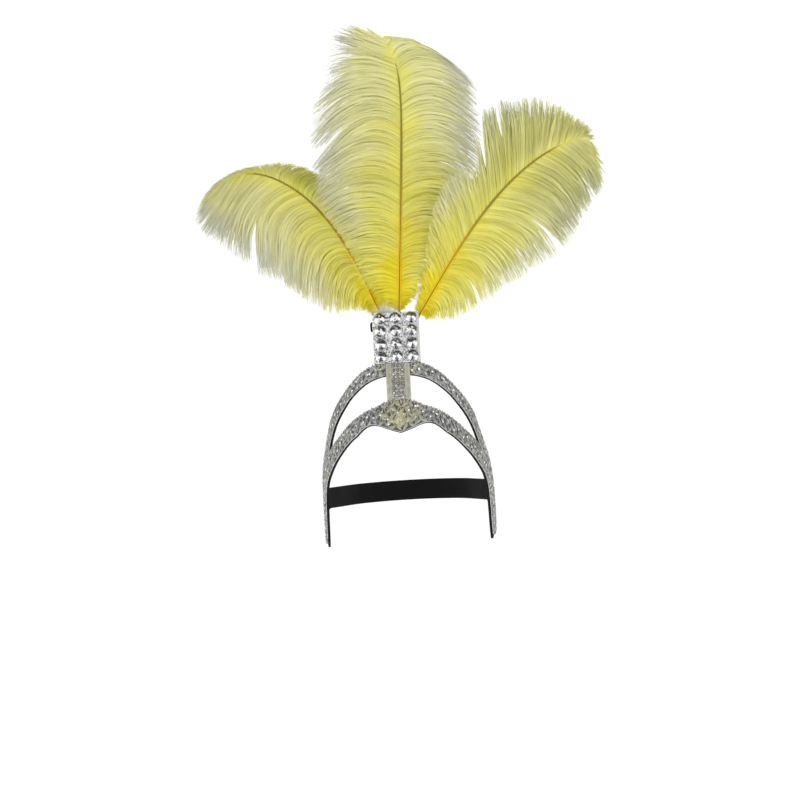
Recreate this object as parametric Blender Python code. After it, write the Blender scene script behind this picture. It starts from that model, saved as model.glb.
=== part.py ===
"""Showgirl feather headdress: a felt tiara base with silver lace, a stone panel and three plumes.

Metres, +Z up, and the wearer looks along -Y. The origin is the middle of the head hollow,
level with the point that the band makes in the middle of the forehead.
"""

import math
import random
from collections import namedtuple

import bmesh
import bpy
from mathutils import Vector

# Felt base, which is one sheet bent round the front half of the head
HEAD_HALF_WIDTH = 0.095
HEAD_HALF_DEPTH = 0.098
FRONT_LEAN = 0.16
LEAN_BLEND = 0.020
ARCH_RISE = 0.077
FLAP_DROP = 0.127
NOTCH_TURN = math.radians(61.5)
QUARTER_TURN = math.radians(90)
FELT_THICKNESS = 0.0022
POST_WIDTH = 0.026
PANEL_WIDTH = 0.050
PANEL_HEIGHT = 0.057
CLEARANCE = 0.0003

# Silver lace
LACE_THICKNESS = 0.0010
LACE_RELIEF = 0.0012
LACE_PITCH = 0.0055
LACE_MARGIN = 0.0018
LACE_COLUMNS = (0.28, 0.52, 0.76)

# Post trim
RIBBON_THICKNESS = 0.0010
POST_STRIP_WIDTH = 0.0140
POST_STRIP_THICKNESS = 0.0008
POST_STONE_WIDTH = 0.0041
POST_STONE_HEIGHT = 0.0018
POST_STONE_SIDES = 7
POST_STONE_COLUMNS = 3
POST_STONE_ROWS = 8

# Stone panel
MESH_THICKNESS = 0.0012
SEAT_WIDTH = 0.0140
SEAT_HEIGHT = 0.0008
STONE_WIDTH = 0.0124
STONE_HEIGHT = 0.0042
STONE_GIRDLE = 0.0012
STONE_TABLE = 0.56
STONE_SIDES = 10
PANEL_COLUMNS = 3
PANEL_ROWS = 4
BUMP_WIDTH = 0.0050
BUMP_HEIGHT = 0.0014
BUMP_TOP = 1 / 3
SUNK = 0.0003

# Elastic strap
STRAP_HEIGHT = 0.024
STRAP_THICKNESS = 0.0014
STRAP_LEVEL = -0.072
STRAP_BACK = 0.097

# Plumes
PLUME_LENGTH = 0.362
QUILL_WIDTH = 0.0040
QUILL_TIP_WIDTH = 0.0012
QUILL_BARE = 0.042
QUILL_FOOT = 0.015
QUILL_SPACING = 0.0004
VANE_REACH = 0.098
VANE_THICKNESS = 0.0095
VANE_BOW = 0.006
VANE_GROWTH = 0.28
VANE_FADE = 0.12
VANE_EDGE = 0.16
LOCKS = 17
LOCK_NOTCH = 0.16
LOCK_GROOVE = 0.45
LOCK_SPREAD = (0.97, 1.04)
SLIT_REACH = 0.52
BARB_LIFT = 0.35
BARB_ARCH = 0.45
BARB_SHARES = (0.16, 0.42, 0.72)
LOCK_PROFILE = (0.34, 0.50, 0.36)
BARB_ROOT_WALL = 0.90
BARB_WALL = 0.35
RIDGE_HEIGHT = 0.30
CURL_POWER = 4

# Steps of the loops that follow the edge tables and the stems
RIB_STEP = 0.5
RIB_SNAP = 0.3
BARE_RIBS = 0.65
TRIM_POINTS = 400
STEM_POINTS = 480
RING_POINTS = 16
SAME = 0.01

# Each row is one step of the way from the middle of the front to the notch beside the temple.
# Heights above the origin are shares of ARCH_RISE, and those below it are shares of FLAP_DROP.
FrontRib = namedtuple("FrontRib", "band_low band_top arch_low arch_top")
FRONT_RIBS = (
    FrontRib(0.000, 0.468, 0.831, 1.000),
    FrontRib(0.034, 0.461, 0.827, 1.000),
    FrontRib(0.075, 0.439, 0.812, 0.994),
    FrontRib(0.114, 0.383, 0.784, 0.981),
    FrontRib(0.119, 0.344, 0.740, 0.943),
    FrontRib(0.068, 0.296, 0.674, 0.878),
    FrontRib(-0.013, 0.236, 0.591, 0.792),
    FrontRib(-0.057, 0.162, 0.496, 0.691),
    FrontRib(-0.110, 0.074, 0.377, 0.584),
    FrontRib(-0.167, -0.008, 0.257, 0.474),
    FrontRib(-0.225, -0.057, 0.119, 0.344),
    FrontRib(-0.288, -0.110, -0.035, 0.195),
    FrontRib(-0.354, -0.161, -0.161, -0.008),
)

# Each row crosses the side flap from its front edge over the seam of the two laces to its rear
# edge. Turns are shares of QUARTER_TURN, and heights follow the same rule as above.
FlapRib = namedtuple("FlapRib", "front_turn front seam_turn seam rear_turn rear")
FLAP_RIBS = (
    FlapRib(0.724, -0.402, 0.739, -0.244, 0.761, -0.157),
    FlapRib(0.758, -0.461, 0.794, -0.346, 0.833, -0.268),
    FlapRib(0.784, -0.543, 0.844, -0.472, 0.908, -0.409),
    FlapRib(0.798, -0.646, 0.881, -0.614, 0.967, -0.583),
    FlapRib(0.807, -0.764, 0.898, -0.756, 0.994, -0.748),
    FlapRib(0.813, -0.866, 0.894, -0.866, 0.978, -0.866),
    FlapRib(0.820, -0.941, 0.876, -0.945, 0.928, -0.937),
    FlapRib(0.831, -1.000, 0.840, -1.000, 0.849, -1.000),
)

# The lace's cross-sections alternate between these two. side and middle are heights as shares of
# LACE_RELIEF, and bare is what its outer edge leaves uncovered, as a share of LACE_MARGIN.
LaceRib = namedtuple("LaceRib", "side middle bare")
LACE_DIP = LaceRib(1.00, 0.25, 0.55)
LACE_LEAF = LaceRib(0.35, 1.00, 0.25)

# Where the strap runs behind the flap: x is a share of HEAD_HALF_WIDTH, y of STRAP_BACK.
StrapPoint = namedtuple("StrapPoint", "x y")
STRAP_FREE = (
    StrapPoint(0.968, -0.045),
    StrapPoint(0.925, 0.06),
    StrapPoint(0.865, 0.19),
    StrapPoint(0.800, 0.34),
    StrapPoint(0.735, 0.49),
    StrapPoint(0.640, 0.65),
    StrapPoint(0.495, 0.80),
    StrapPoint(0.270, 0.945),
    StrapPoint(0.000, 1.00),
)
STRAP_SEWN_TURNS = (0.840, 0.875, 0.910)

# foot is how far the foot stands to the right of the middle, as a share of QUILL_WIDTH, and length
# is a share of PLUME_LENGTH. lean is the sideways angle at the foot, and bend is added to it along
# the stem. foot_back and vane_back are slopes backwards behind and above the panel, and curl rolls
# the tip forwards.
Plume = namedtuple(
    "Plume",
    "name foot length lean bend bend_power foot_back vane_back curl layer slit_side slit vane",
)

# Tips of the barbs, as shares of VANE_REACH out from the stem and onwards along it.
Barbs = namedtuple("Barbs", "share left_out left_on right_out right_on")
CENTER_VANE = (
    Barbs(0.125, 0.10, 0.00, 0.10, 0.00),
    Barbs(0.20, 0.46, 0.02, 0.30, -0.02),
    Barbs(0.34, 0.74, 0.03, 0.57, 0.03),
    Barbs(0.50, 0.95, -0.12, 0.78, -0.05),
    Barbs(0.62, 0.97, -0.23, 0.88, -0.13),
    Barbs(0.72, 1.02, -0.36, 0.91, -0.15),
    Barbs(0.80, 1.03, -0.18, 0.89, -0.21),
    Barbs(0.87, 0.86, 0.09, 0.84, -0.31),
    Barbs(0.92, 0.70, 0.30, 0.69, -0.38),
    Barbs(0.96, 0.48, 0.48, 0.44, -0.29),
    Barbs(1.00, 0.26, 0.42, 0.14, -0.08),
)
LEFT_VANE = (
    Barbs(0.155, 0.08, 0.00, 0.08, 0.00),
    Barbs(0.245, 0.21, -0.14, 0.20, -0.02),
    Barbs(0.36, 0.53, -0.34, 0.33, -0.09),
    Barbs(0.48, 0.75, -0.37, 0.38, -0.12),
    Barbs(0.60, 0.87, -0.37, 0.39, -0.12),
    Barbs(0.70, 1.02, -0.20, 0.31, -0.08),
    Barbs(0.765, 1.00, 0.06, 0.25, -0.04),
    Barbs(0.83, 0.98, 0.22, 0.17, -0.03),
    Barbs(0.90, 0.86, 0.34, 0.09, -0.01),
    Barbs(0.95, 0.60, 0.40, 0.07, 0.01),
    Barbs(1.00, 0.22, 0.30, 0.05, 0.03),
)
RIGHT_VANE = (
    Barbs(0.145, 0.08, 0.02, 0.08, -0.02),
    Barbs(0.245, 0.24, 0.18, 0.37, -0.14),
    Barbs(0.345, 0.46, 0.35, 0.63, -0.08),
    Barbs(0.475, 0.55, 0.42, 0.83, -0.01),
    Barbs(0.56, 0.40, 0.40, 0.93, 0.10),
    Barbs(0.635, 0.67, 0.65, 0.99, 0.24),
    Barbs(0.72, 0.74, 0.50, 0.95, 0.29),
    Barbs(0.80, 0.60, 0.36, 0.80, 0.41),
    Barbs(0.88, 0.42, 0.20, 0.56, 0.46),
    Barbs(0.945, 0.28, 0.16, 0.32, 0.38),
    Barbs(1.00, 0.12, 0.12, 0.12, 0.20),
)
PLUMES = (
    Plume("plume_right", 0.50, 0.906, 33, 52, 3.2, 14.5, 1, 42, 0, 1, 0.585, RIGHT_VANE),
    Plume("plume_center", 0.375, 1.00, 3.6, -48, 12, 9.1, 11.5, 42, 1, -1, 0.69, CENTER_VANE),
    Plume("plume_left", 0.00, 0.884, -22, -86, 3.0, 14, 15, 38, 2, -1, 0.715, LEFT_VANE),
)


def clear_scene():
    for obj in list(bpy.data.objects):
        bpy.data.objects.remove(obj, do_unlink=True)


def material(name, colour, roughness, metallic=0.0):
    made = bpy.data.materials.get(name) or bpy.data.materials.new(name)
    made.use_nodes = True
    shader = made.node_tree.nodes["Principled BSDF"]
    shader.inputs["Base Color"].default_value = (*colour, 1.0)
    shader.inputs["Roughness"].default_value = roughness
    shader.inputs["Metallic"].default_value = metallic
    made.diffuse_color = (*colour, 1.0)
    return made


def black_felt():
    return material("black_felt", (0.012, 0.012, 0.014), 0.95)


def silver_lace():
    return material("silver_lace", (0.52, 0.52, 0.50), 0.45, metallic=0.6)


def cream_ribbon():
    return material("cream_ribbon", (0.66, 0.64, 0.50), 0.60)


def clear_mesh():
    return material("clear_mesh", (0.82, 0.83, 0.85), 0.25, metallic=0.3)


def cut_stone():
    return material("cut_stone", (0.90, 0.91, 0.93), 0.05, metallic=0.5)


def black_elastic():
    return material("black_elastic", (0.010, 0.010, 0.011), 0.80)


def yellow_plume():
    return material("yellow_plume", (0.80, 0.72, 0.16), 0.75)


def add_object(name, bm, finish, closed=True):
    """Makes the bmesh an object of this name, and turns the faces of a closed body outwards."""
    if closed:
        bmesh.ops.recalc_face_normals(bm, faces=bm.faces)
    mesh = bpy.data.meshes.new(name)
    bm.to_mesh(mesh)
    bm.free()
    mesh.materials.append(finish)
    obj = bpy.data.objects.new(name, mesh)
    bpy.context.scene.collection.objects.link(obj)
    return obj


def helper(name, bm):
    """An object that only shapes another one, and isn't part of the model."""
    obj = add_object(name, bm, cut_stone())
    obj.hide_render = True
    obj.display_type = "WIRE"
    return obj


def join_to(obj, other):
    union = obj.modifiers.new("join_" + other.name, "BOOLEAN")
    union.operation = "UNION"
    union.solver = "EXACT"
    union.object = other


def smooth_step(value):
    value = min(max(value, 0.0), 1.0)
    return value * value * (3.0 - 2.0 * value)


def smooth_row(rows, place):
    """A row of the table read between its rows, on a smooth curve through them."""
    index = min(max(int(place), 0), len(rows) - 2)
    step = place - index
    before = rows[max(index - 1, 0)]
    start = rows[index]
    end = rows[index + 1]
    after = rows[min(index + 2, len(rows) - 1)]
    found = []
    for a, b, c, d in zip(before, start, end, after):
        slope_in = (c - a) / 2
        slope_out = (d - b) / 2
        cube = 2 * b - 2 * c + slope_in + slope_out
        square = -3 * b + 3 * c - 2 * slope_in - slope_out
        found.append(((cube * step + square) * step + slope_in) * step + b)
    return found


def height_of(share):
    return share * (ARCH_RISE if share > 0 else FLAP_DROP)


def depth_at(height):
    """How far the sheet stands in front of the origin at this height, and its slope there."""
    root = math.hypot(height, LEAN_BLEND)
    depth = HEAD_HALF_DEPTH - FRONT_LEAN * (height + root - LEAN_BLEND) / 2
    return depth, FRONT_LEAN * (1 + height / root) / 2


def sheet_normal(turn, height):
    depth, slope = depth_at(height)
    side = math.sin(turn) / HEAD_HALF_WIDTH
    front = math.cos(turn) / depth
    return Vector((side, -front, front * math.cos(turn) * slope)).normalized()


def sheet_point(turn, height, out=0.0):
    """A point that stands out from the inner face of the felt sheet by this much."""
    depth, _ = depth_at(height)
    face = Vector((HEAD_HALF_WIDTH * math.sin(turn), -depth * math.cos(turn), height))
    return face + sheet_normal(turn, height) * out


def turn_of(width):
    """The turn at which the sheet is this far to the right of the middle."""
    return math.asin(width / HEAD_HALF_WIDTH)


def rib_rows():
    """Turn and height of the four edge points of each rib, from the middle to the flap's tip."""
    rows = []
    for index, rib in enumerate(FRONT_RIBS):
        turn = NOTCH_TURN * index / (len(FRONT_RIBS) - 1)
        row = []
        for share in rib:
            row += [turn, height_of(share)]
        rows.append(row)
    for rib in FLAP_RIBS:
        seam = [rib.seam_turn * QUARTER_TURN, height_of(rib.seam)]
        front = [rib.front_turn * QUARTER_TURN, height_of(rib.front)]
        rear = [rib.rear_turn * QUARTER_TURN, height_of(rib.rear)]
        rows.append(front + seam + seam + rear)
    return rows


RIB_ROWS = rib_rows()
NOTCH_PLACE = len(FRONT_RIBS) - 1
TIP_PLACE = len(RIB_ROWS) - 1
POST_BOTTOM = height_of(FRONT_RIBS[0].band_top) + CLEARANCE
POST_TOP = ARCH_RISE - CLEARANCE
RIBBON_BACK = FELT_THICKNESS + CLEARANCE
STRIP_BACK = RIBBON_BACK + RIBBON_THICKNESS + CLEARANCE
PANEL_BOTTOM = ARCH_RISE + CLEARANCE
PANEL_TOP = ARCH_RISE + PANEL_HEIGHT
MESH_BACK = FELT_THICKNESS + CLEARANCE
MESH_FRONT = MESH_BACK + MESH_THICKNESS


def rib_at(place):
    """The four (turn, height) pairs of the rib at this place, which is negative on the left."""
    row = smooth_row(RIB_ROWS, abs(place))
    side = -1 if place < 0 else 1
    return [(side * row[2 * i], row[2 * i + 1]) for i in range(4)]


def place_of_turn(turn):
    return turn / NOTCH_TURN * NOTCH_PLACE


def blend_pair(first, second, share):
    return tuple(a + (b - a) * share for a, b in zip(first, second))


def felt_places():
    """Places of the felt's ribs, with one on each edge of the post and of the panel."""
    exact = [place_of_turn(turn_of(POST_WIDTH / 2)), place_of_turn(turn_of(PANEL_WIDTH / 2))]
    half = [0.0, *exact]
    for i in range(1, round(TIP_PLACE / RIB_STEP) + 1):
        place = i * RIB_STEP
        if min(abs(place - other) for other in exact) > RIB_SNAP:
            half.append(place)
    half.sort()
    return [-p for p in reversed(half[1:])] + half


def make_felt_base():
    """Band, side flaps, arch, post and panel backing, cut from one sheet with two windows."""
    bm = bmesh.new()
    made = {}

    def corner(pair):
        key = (round(pair[0], 7), round(pair[1], 7))
        if key not in made:
            made[key] = bm.verts.new(sheet_point(*pair))
        return made[key]

    def quad(a, b, c, d):
        corners = []
        for pair in (a, b, c, d):
            vertex = corner(pair)
            if vertex not in corners:
                corners.append(vertex)
        bm.faces.new(corners)

    post_place = place_of_turn(turn_of(POST_WIDTH / 2))
    panel_place = place_of_turn(turn_of(PANEL_WIDTH / 2))
    places = felt_places()
    for start, end in zip(places, places[1:]):
        low, top, inner, outer = rib_at(start)
        next_low, next_top, next_inner, next_outer = rib_at(end)
        quad(low, next_low, next_top, top)
        quad(inner, next_inner, next_outer, outer)
        widest = max(abs(start), abs(end))
        if widest < post_place + SAME:
            quad(top, next_top, next_inner, inner)
        if widest < panel_place + SAME:
            quad(outer, next_outer, (next_outer[0], PANEL_TOP), (outer[0], PANEL_TOP))
    obj = add_object("felt_base", bm, black_felt(), closed=False)
    wall = obj.modifiers.new("felt_wall", "SOLIDIFY")
    wall.thickness = FELT_THICKNESS
    wall.offset = 1.0
    return obj


def loft(bm, rings):
    """Joins rings of equally many points into one closed body."""
    verts = [[bm.verts.new(point) for point in ring] for ring in rings]
    count = len(verts[0])
    for ring, following in zip(verts, verts[1:]):
        for i in range(count):
            j = (i + 1) % count
            bm.faces.new((ring[i], ring[j], following[j], following[i]))
    bm.faces.new(list(reversed(verts[0])))
    bm.faces.new(verts[-1])


def even_places(start, end, low, top, pitch):
    """Places from start to end that lie one pitch apart along the middle of a trim."""
    places = [start + (end - start) * i / TRIM_POINTS for i in range(TRIM_POINTS + 1)]
    middles = []
    for place in places:
        rib = rib_at(place)
        middles.append(sheet_point(*blend_pair(rib[low], rib[top], 0.5)))
    lengths = [0.0]
    for a, b in zip(middles, middles[1:]):
        lengths.append(lengths[-1] + (b - a).length)
    steps = max(2, round(lengths[-1] / pitch))
    found = []
    for k in range(steps + 1):
        wanted = lengths[-1] * k / steps
        found.append(places[min(range(len(lengths)), key=lambda n: abs(lengths[n] - wanted))])
    return found


def lace_ring(place, low, top, form):
    """One cross-section of a lace trim: a thin back, low edges and a leaf that rises and falls."""
    rib = rib_at(place)
    first, last = rib[low], rib[top]
    width = (sheet_point(*last) - sheet_point(*first)).length
    start = LACE_MARGIN / width
    end = 1.0 - start * form.bare
    back = FELT_THICKNESS + CLEARANCE
    edge = back + LACE_THICKNESS
    side = edge + LACE_RELIEF * form.side
    middle = edge + LACE_RELIEF * form.middle
    profile = [(end, back), (start, back), (start, edge)]
    profile += zip(LACE_COLUMNS, (side, middle, side))
    profile += [(end, edge)]
    return [sheet_point(*blend_pair(first, last, share), out) for share, out in profile]


def make_lace(name, start, end, low, top):
    bm = bmesh.new()
    rings = []
    for i, place in enumerate(even_places(start, end, low, top, LACE_PITCH)):
        rings.append(lace_ring(place, low, top, LACE_LEAF if i % 2 else LACE_DIP))
    loft(bm, rings)
    add_object(name, bm, silver_lace())


def make_laces():
    tip = TIP_PLACE - BARE_RIBS
    make_lace("band_lace", -tip, tip, 0, 1)
    beside_post = place_of_turn(turn_of(POST_WIDTH / 2 + CLEARANCE))
    make_lace("arch_lace_left", -tip, -beside_post, 2, 3)
    make_lace("arch_lace_right", beside_post, tip, 2, 3)


def patch(bm, width, bottom, top, back, front, columns, rows):
    """A plate that follows the sheet, centred on the post."""
    edge = turn_of(width / 2)
    across = [-edge + 2 * edge * i / columns for i in range(columns + 1)]
    rings = []
    for k in range(rows + 1):
        height = bottom + (top - bottom) * k / rows
        ring = [sheet_point(turn, height, front) for turn in across]
        ring += [sheet_point(turn, height, back) for turn in reversed(across)]
        rings.append(ring)
    loft(bm, rings)


def stand_on_sheet(verts, turn, height, out):
    """Moves a shape made round the origin, rising along Z, to stand on the sheet."""
    up = sheet_normal(turn, height)
    place = sheet_point(turn, height, out)
    turned = Vector((0, 0, 1)).rotation_difference(up)
    for vert in verts:
        vert.co = turned @ vert.co + place


def cone_verts(bm, sides, width, top_width, height):
    made = bmesh.ops.create_cone(
        bm,
        cap_ends=True,
        segments=sides,
        radius1=width / 2,
        radius2=top_width / 2,
        depth=height,
    )
    for vert in made["verts"]:
        vert.co.z += height / 2
    return made["verts"]


def make_post_ribbon():
    bm = bmesh.new()
    front = RIBBON_BACK + RIBBON_THICKNESS
    patch(bm, POST_WIDTH, POST_BOTTOM, POST_TOP, RIBBON_BACK, front, 4, 3)
    add_object("post_ribbon", bm, cream_ribbon())


def make_post_rhinestones():
    """A strip up the middle of the post with rows of small stones fused to it."""
    bm = bmesh.new()
    bottom = POST_BOTTOM + CLEARANCE
    top = POST_TOP - CLEARANCE
    front = STRIP_BACK + POST_STRIP_THICKNESS
    patch(bm, POST_STRIP_WIDTH, bottom, top, STRIP_BACK, front, 3, 3)
    strip = add_object("post_rhinestones", bm, cut_stone())
    stones = bmesh.new()
    column_step = POST_STRIP_WIDTH / POST_STONE_COLUMNS
    row_step = (top - bottom) / POST_STONE_ROWS
    table_width = POST_STONE_WIDTH * STONE_TABLE
    tall = POST_STONE_HEIGHT + SUNK
    for column in range(POST_STONE_COLUMNS):
        turn = turn_of((column - (POST_STONE_COLUMNS - 1) / 2) * column_step)
        for row in range(POST_STONE_ROWS):
            height = bottom + (row + 0.5) * row_step
            verts = cone_verts(stones, POST_STONE_SIDES, POST_STONE_WIDTH, table_width, tall)
            stand_on_sheet(verts, turn, height, front - SUNK)
    join_to(strip, helper("post_stone_shapes", stones))


def panel_place(column, row):
    """Turn and height at a column and row of the panel, which may be halves between stones."""
    column_step = PANEL_WIDTH / PANEL_COLUMNS
    row_step = PANEL_HEIGHT / PANEL_ROWS
    turn = turn_of((column - (PANEL_COLUMNS - 1) / 2) * column_step)
    return turn, PANEL_BOTTOM + (row + 0.5) * row_step


def make_panel_mesh():
    """The clear mesh of the panel, with a round seat for each stone and bumps between them."""
    bm = bmesh.new()
    patch(bm, PANEL_WIDTH, PANEL_BOTTOM, PANEL_TOP, MESH_BACK, MESH_FRONT, 8, 1)
    mesh = add_object("panel_mesh", bm, clear_mesh())
    shapes = bmesh.new()
    for column in range(PANEL_COLUMNS):
        for row in range(PANEL_ROWS):
            seat = cone_verts(shapes, STONE_SIDES, SEAT_WIDTH, SEAT_WIDTH, SEAT_HEIGHT + SUNK)
            stand_on_sheet(seat, *panel_place(column, row), MESH_FRONT - SUNK)
    for column in range(PANEL_COLUMNS - 1):
        for row in range(PANEL_ROWS - 1):
            bump = cone_verts(shapes, 4, BUMP_WIDTH, BUMP_WIDTH * BUMP_TOP, BUMP_HEIGHT + SUNK)
            stand_on_sheet(bump, *panel_place(column + 0.5, row + 0.5), MESH_FRONT - SUNK)
    join_to(mesh, helper("panel_seat_shapes", shapes))


def stone_mesh(bm):
    """A round stone with a flat back, an upright girdle, a ring of facets and a table."""
    rings = (
        (STONE_WIDTH / 2, 0.0, 0.0),
        (STONE_WIDTH / 2, STONE_GIRDLE, 0.0),
        (STONE_WIDTH / 2 * STONE_TABLE, STONE_HEIGHT, 0.5),
    )
    verts = []
    for radius, height, shift in rings:
        ring = []
        for i in range(STONE_SIDES):
            angle = math.tau * (i + shift) / STONE_SIDES
            place = (radius * math.cos(angle), radius * math.sin(angle), height)
            ring.append(bm.verts.new(place))
        verts.append(ring)
    base, girdle, table = verts
    for i in range(STONE_SIDES):
        j = (i + 1) % STONE_SIDES
        bm.faces.new((base[i], base[j], girdle[j], girdle[i]))
        bm.faces.new((girdle[i], girdle[j], table[i]))
        bm.faces.new((girdle[j], table[j], table[i]))
    bm.faces.new(list(reversed(base)))
    bm.faces.new(table)


def make_panel_stones():
    seat_top = MESH_FRONT + SEAT_HEIGHT + CLEARANCE
    for row in range(PANEL_ROWS):
        for column in range(PANEL_COLUMNS):
            bm = bmesh.new()
            stone_mesh(bm)
            stand_on_sheet(bm.verts, *panel_place(column, row), seat_top)
            add_object(f"panel_stone_{row + 1}{column + 1}", bm, cut_stone())


def strap_line():
    """The middle of the strap, seen from above, from one flap round the back to the other."""
    inside = -(2 * CLEARANCE + STRAP_THICKNESS / 2)
    half = []
    for share in STRAP_SEWN_TURNS:
        point = sheet_point(share * QUARTER_TURN, STRAP_LEVEL, inside)
        half.append((point.x, point.y))
    for point in STRAP_FREE:
        half.append((point.x * HEAD_HALF_WIDTH, point.y * STRAP_BACK))
    return half + [(-x, y) for x, y in reversed(half[:-1])]


def make_strap():
    """A flat elastic band that ends flat against the inner face of each flap."""
    line = strap_line()
    steps = 2 * (len(line) - 1)
    points = [Vector((*smooth_row(line, i / 2), STRAP_LEVEL)) for i in range(steps + 1)]
    rings = []
    for i, point in enumerate(points):
        along = points[min(i + 1, steps)] - points[max(i - 1, 0)]
        across = Vector((along.y, -along.x, 0)).normalized() * STRAP_THICKNESS / 2
        up = Vector((0, 0, STRAP_HEIGHT / 2))
        inner, outer = point - across, point + across
        rings.append([inner - up, outer - up, outer + up, inner + up])
    bm = bmesh.new()
    loft(bm, rings)
    add_object("elastic_strap", bm, black_elastic())


def plume_stem(plume, count):
    """Points up the stem, each with its share of the length, place, side and forward directions."""
    length = plume.length * PLUME_LENGTH
    foot_depth = depth_at(ARCH_RISE + QUILL_FOOT)[0]
    behind = CLEARANCE + QUILL_WIDTH / 2 + plume.layer * (QUILL_WIDTH + QUILL_SPACING)
    place = Vector((plume.foot * QUILL_WIDTH, behind - foot_depth, ARCH_RISE + QUILL_FOOT))
    stem = []
    for i in range(count + 1):
        share = i / count
        heading = math.radians(plume.lean + plume.bend * share**plume.bend_power)
        clear_of_panel = smooth_step((share * length - QUILL_BARE) / QUILL_BARE)
        back = math.radians(plume.foot_back + (plume.vane_back - plume.foot_back) * clear_of_panel)
        curl = math.radians(plume.curl * share**CURL_POWER)
        onward = Vector(
            (
                math.sin(heading) * math.cos(curl),
                math.cos(heading) * math.cos(curl) * math.tan(back) - math.sin(curl),
                math.cos(heading) * math.cos(curl),
            )
        ).normalized()
        side = Vector((math.cos(heading), 0, -math.sin(heading)))
        side = (side - onward * side.dot(onward)).normalized()
        stem.append((share, place.copy(), onward, side, side.cross(onward)))
        place += onward * length / count
    return stem


def vane_row(plume, share):
    """The barb tips at this share of the stem, read smoothly from the plume's table."""
    rows = plume.vane
    index = 0
    while index < len(rows) - 2 and rows[index + 1].share < share:
        index += 1
    start, end = rows[index], rows[index + 1]
    place = index + min(max((share - start.share) / (end.share - start.share), 0.0), 1.0)
    return Barbs(*smooth_row(rows, place))


def barb_point(stem, out, on, share):
    """A point on a barb, which leaves the stem upwards and arches over to its tip."""
    _, place, onward, side, forward = stem
    lift = BARB_LIFT * math.hypot(out, on)
    first = 2 * share * (1 - share)
    second = share * share
    sideways = first * BARB_ARCH * out + second * out
    ahead = first * lift + second * on
    bow = VANE_BOW * second * abs(out) / VANE_REACH
    return place + side * sideways + onward * ahead + forward * bow


def half_vane(plume, stem, side, crest, rng):
    """Front points, tip and back points of the cross-section on one side of the stem."""
    share, _, _, _, forward = stem
    tips = vane_row(plume, share)
    out_share, on_share = tips[1:3] if side < 0 else tips[3:5]
    growth = smooth_step((share - plume.vane[0].share) / VANE_GROWTH)
    growth *= smooth_step((1.0 + VANE_FADE / 3 - share) / VANE_FADE)
    reach = VANE_REACH * rng.uniform(*LOCK_SPREAD)
    thick = VANE_THICKNESS * max(growth, VANE_EDGE)
    if not crest:
        reach = VANE_REACH * (1.0 - LOCK_NOTCH)
        thick *= LOCK_GROOVE
        if side == plume.slit_side and abs(share - plume.slit) < 0.5 / LOCKS:
            reach = VANE_REACH * SLIT_REACH
    out = side * out_share * reach
    on = on_share * reach
    walls = (BARB_ROOT_WALL, BARB_WALL, BARB_WALL)
    front = []
    back = []
    for barb_share, profile, wall in zip(BARB_SHARES, LOCK_PROFILE, walls):
        middle = barb_point(stem, out, on, barb_share)
        half = forward * max(thick * profile, quill_width(share) / 2 * wall)
        front.append(middle + half)
        back.append(middle - half)
    return front, barb_point(stem, out, on, 1.0), back


def quill_width(share):
    return QUILL_WIDTH + (QUILL_TIP_WIDTH - QUILL_WIDTH) * share


def vane_ring(plume, stem, crest, rng):
    """One cross-section of RING_POINTS: out along a barb on each side and back behind it."""
    share, place, _, _, forward = stem
    left_front, left_tip, left_back = half_vane(plume, stem, -1, crest, rng)
    right_front, right_tip, right_back = half_vane(plume, stem, 1, crest, rng)
    growth = smooth_step((share - plume.vane[0].share) / VANE_GROWTH)
    quill = quill_width(share) / 2
    ridge = forward * (max(quill, VANE_THICKNESS * RIDGE_HEIGHT * growth) + BARB_WALL * quill)
    ring = [left_tip, *reversed(left_front), place + ridge, *right_front]
    ring += [right_tip, *reversed(right_back), place - ridge, *left_back]
    return ring


def quill_ring(stem):
    """A round cross-section of the bare quill with as many points as the vane has."""
    _, place, _, side, forward = stem
    ring = []
    for i in range(RING_POINTS):
        angle = math.pi - math.tau * i / RING_POINTS
        around = side * math.cos(angle) + forward * math.sin(angle)
        ring.append(place + around * QUILL_WIDTH / 2)
    return ring


def make_plume(plume):
    """A quill with a vane of locks on each side, all one body."""
    rng = random.Random(plume.name)
    stem = plume_stem(plume, STEM_POINTS)
    start = plume.vane[0].share
    bare_share = QUILL_BARE / (plume.length * PLUME_LENGTH)
    bare_end = round(STEM_POINTS * min(bare_share, start)) - 1
    rings = [quill_ring(stem[0]), quill_ring(stem[bare_end])]
    steps = 2 * LOCKS
    for k in range(steps + 1):
        share = start + (1.0 - start) * k / steps
        rings.append(vane_ring(plume, stem[round(STEM_POINTS * share)], k % 2 == 1, rng))
    bm = bmesh.new()
    loft(bm, rings)
    add_object(plume.name, bm, yellow_plume())


def main():
    clear_scene()
    make_felt_base()
    make_laces()
    make_post_ribbon()
    make_post_rhinestones()
    make_panel_mesh()
    make_panel_stones()
    make_strap()
    for plume in PLUMES:
        make_plume(plume)


main()
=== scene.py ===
"""Dresses a showgirl feather headdress: felt, silver lace, cut stones, an elastic strap and plumes.

Metres, +Z up, and the wearer looks along -Y. Left and right are as seen from the front.
"""

import math
from collections import namedtuple

import bmesh
import bpy
import numpy as np
from bpy.props import FloatProperty, FloatVectorProperty, IntProperty, PointerProperty
from mathutils import Matrix, Vector


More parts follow.
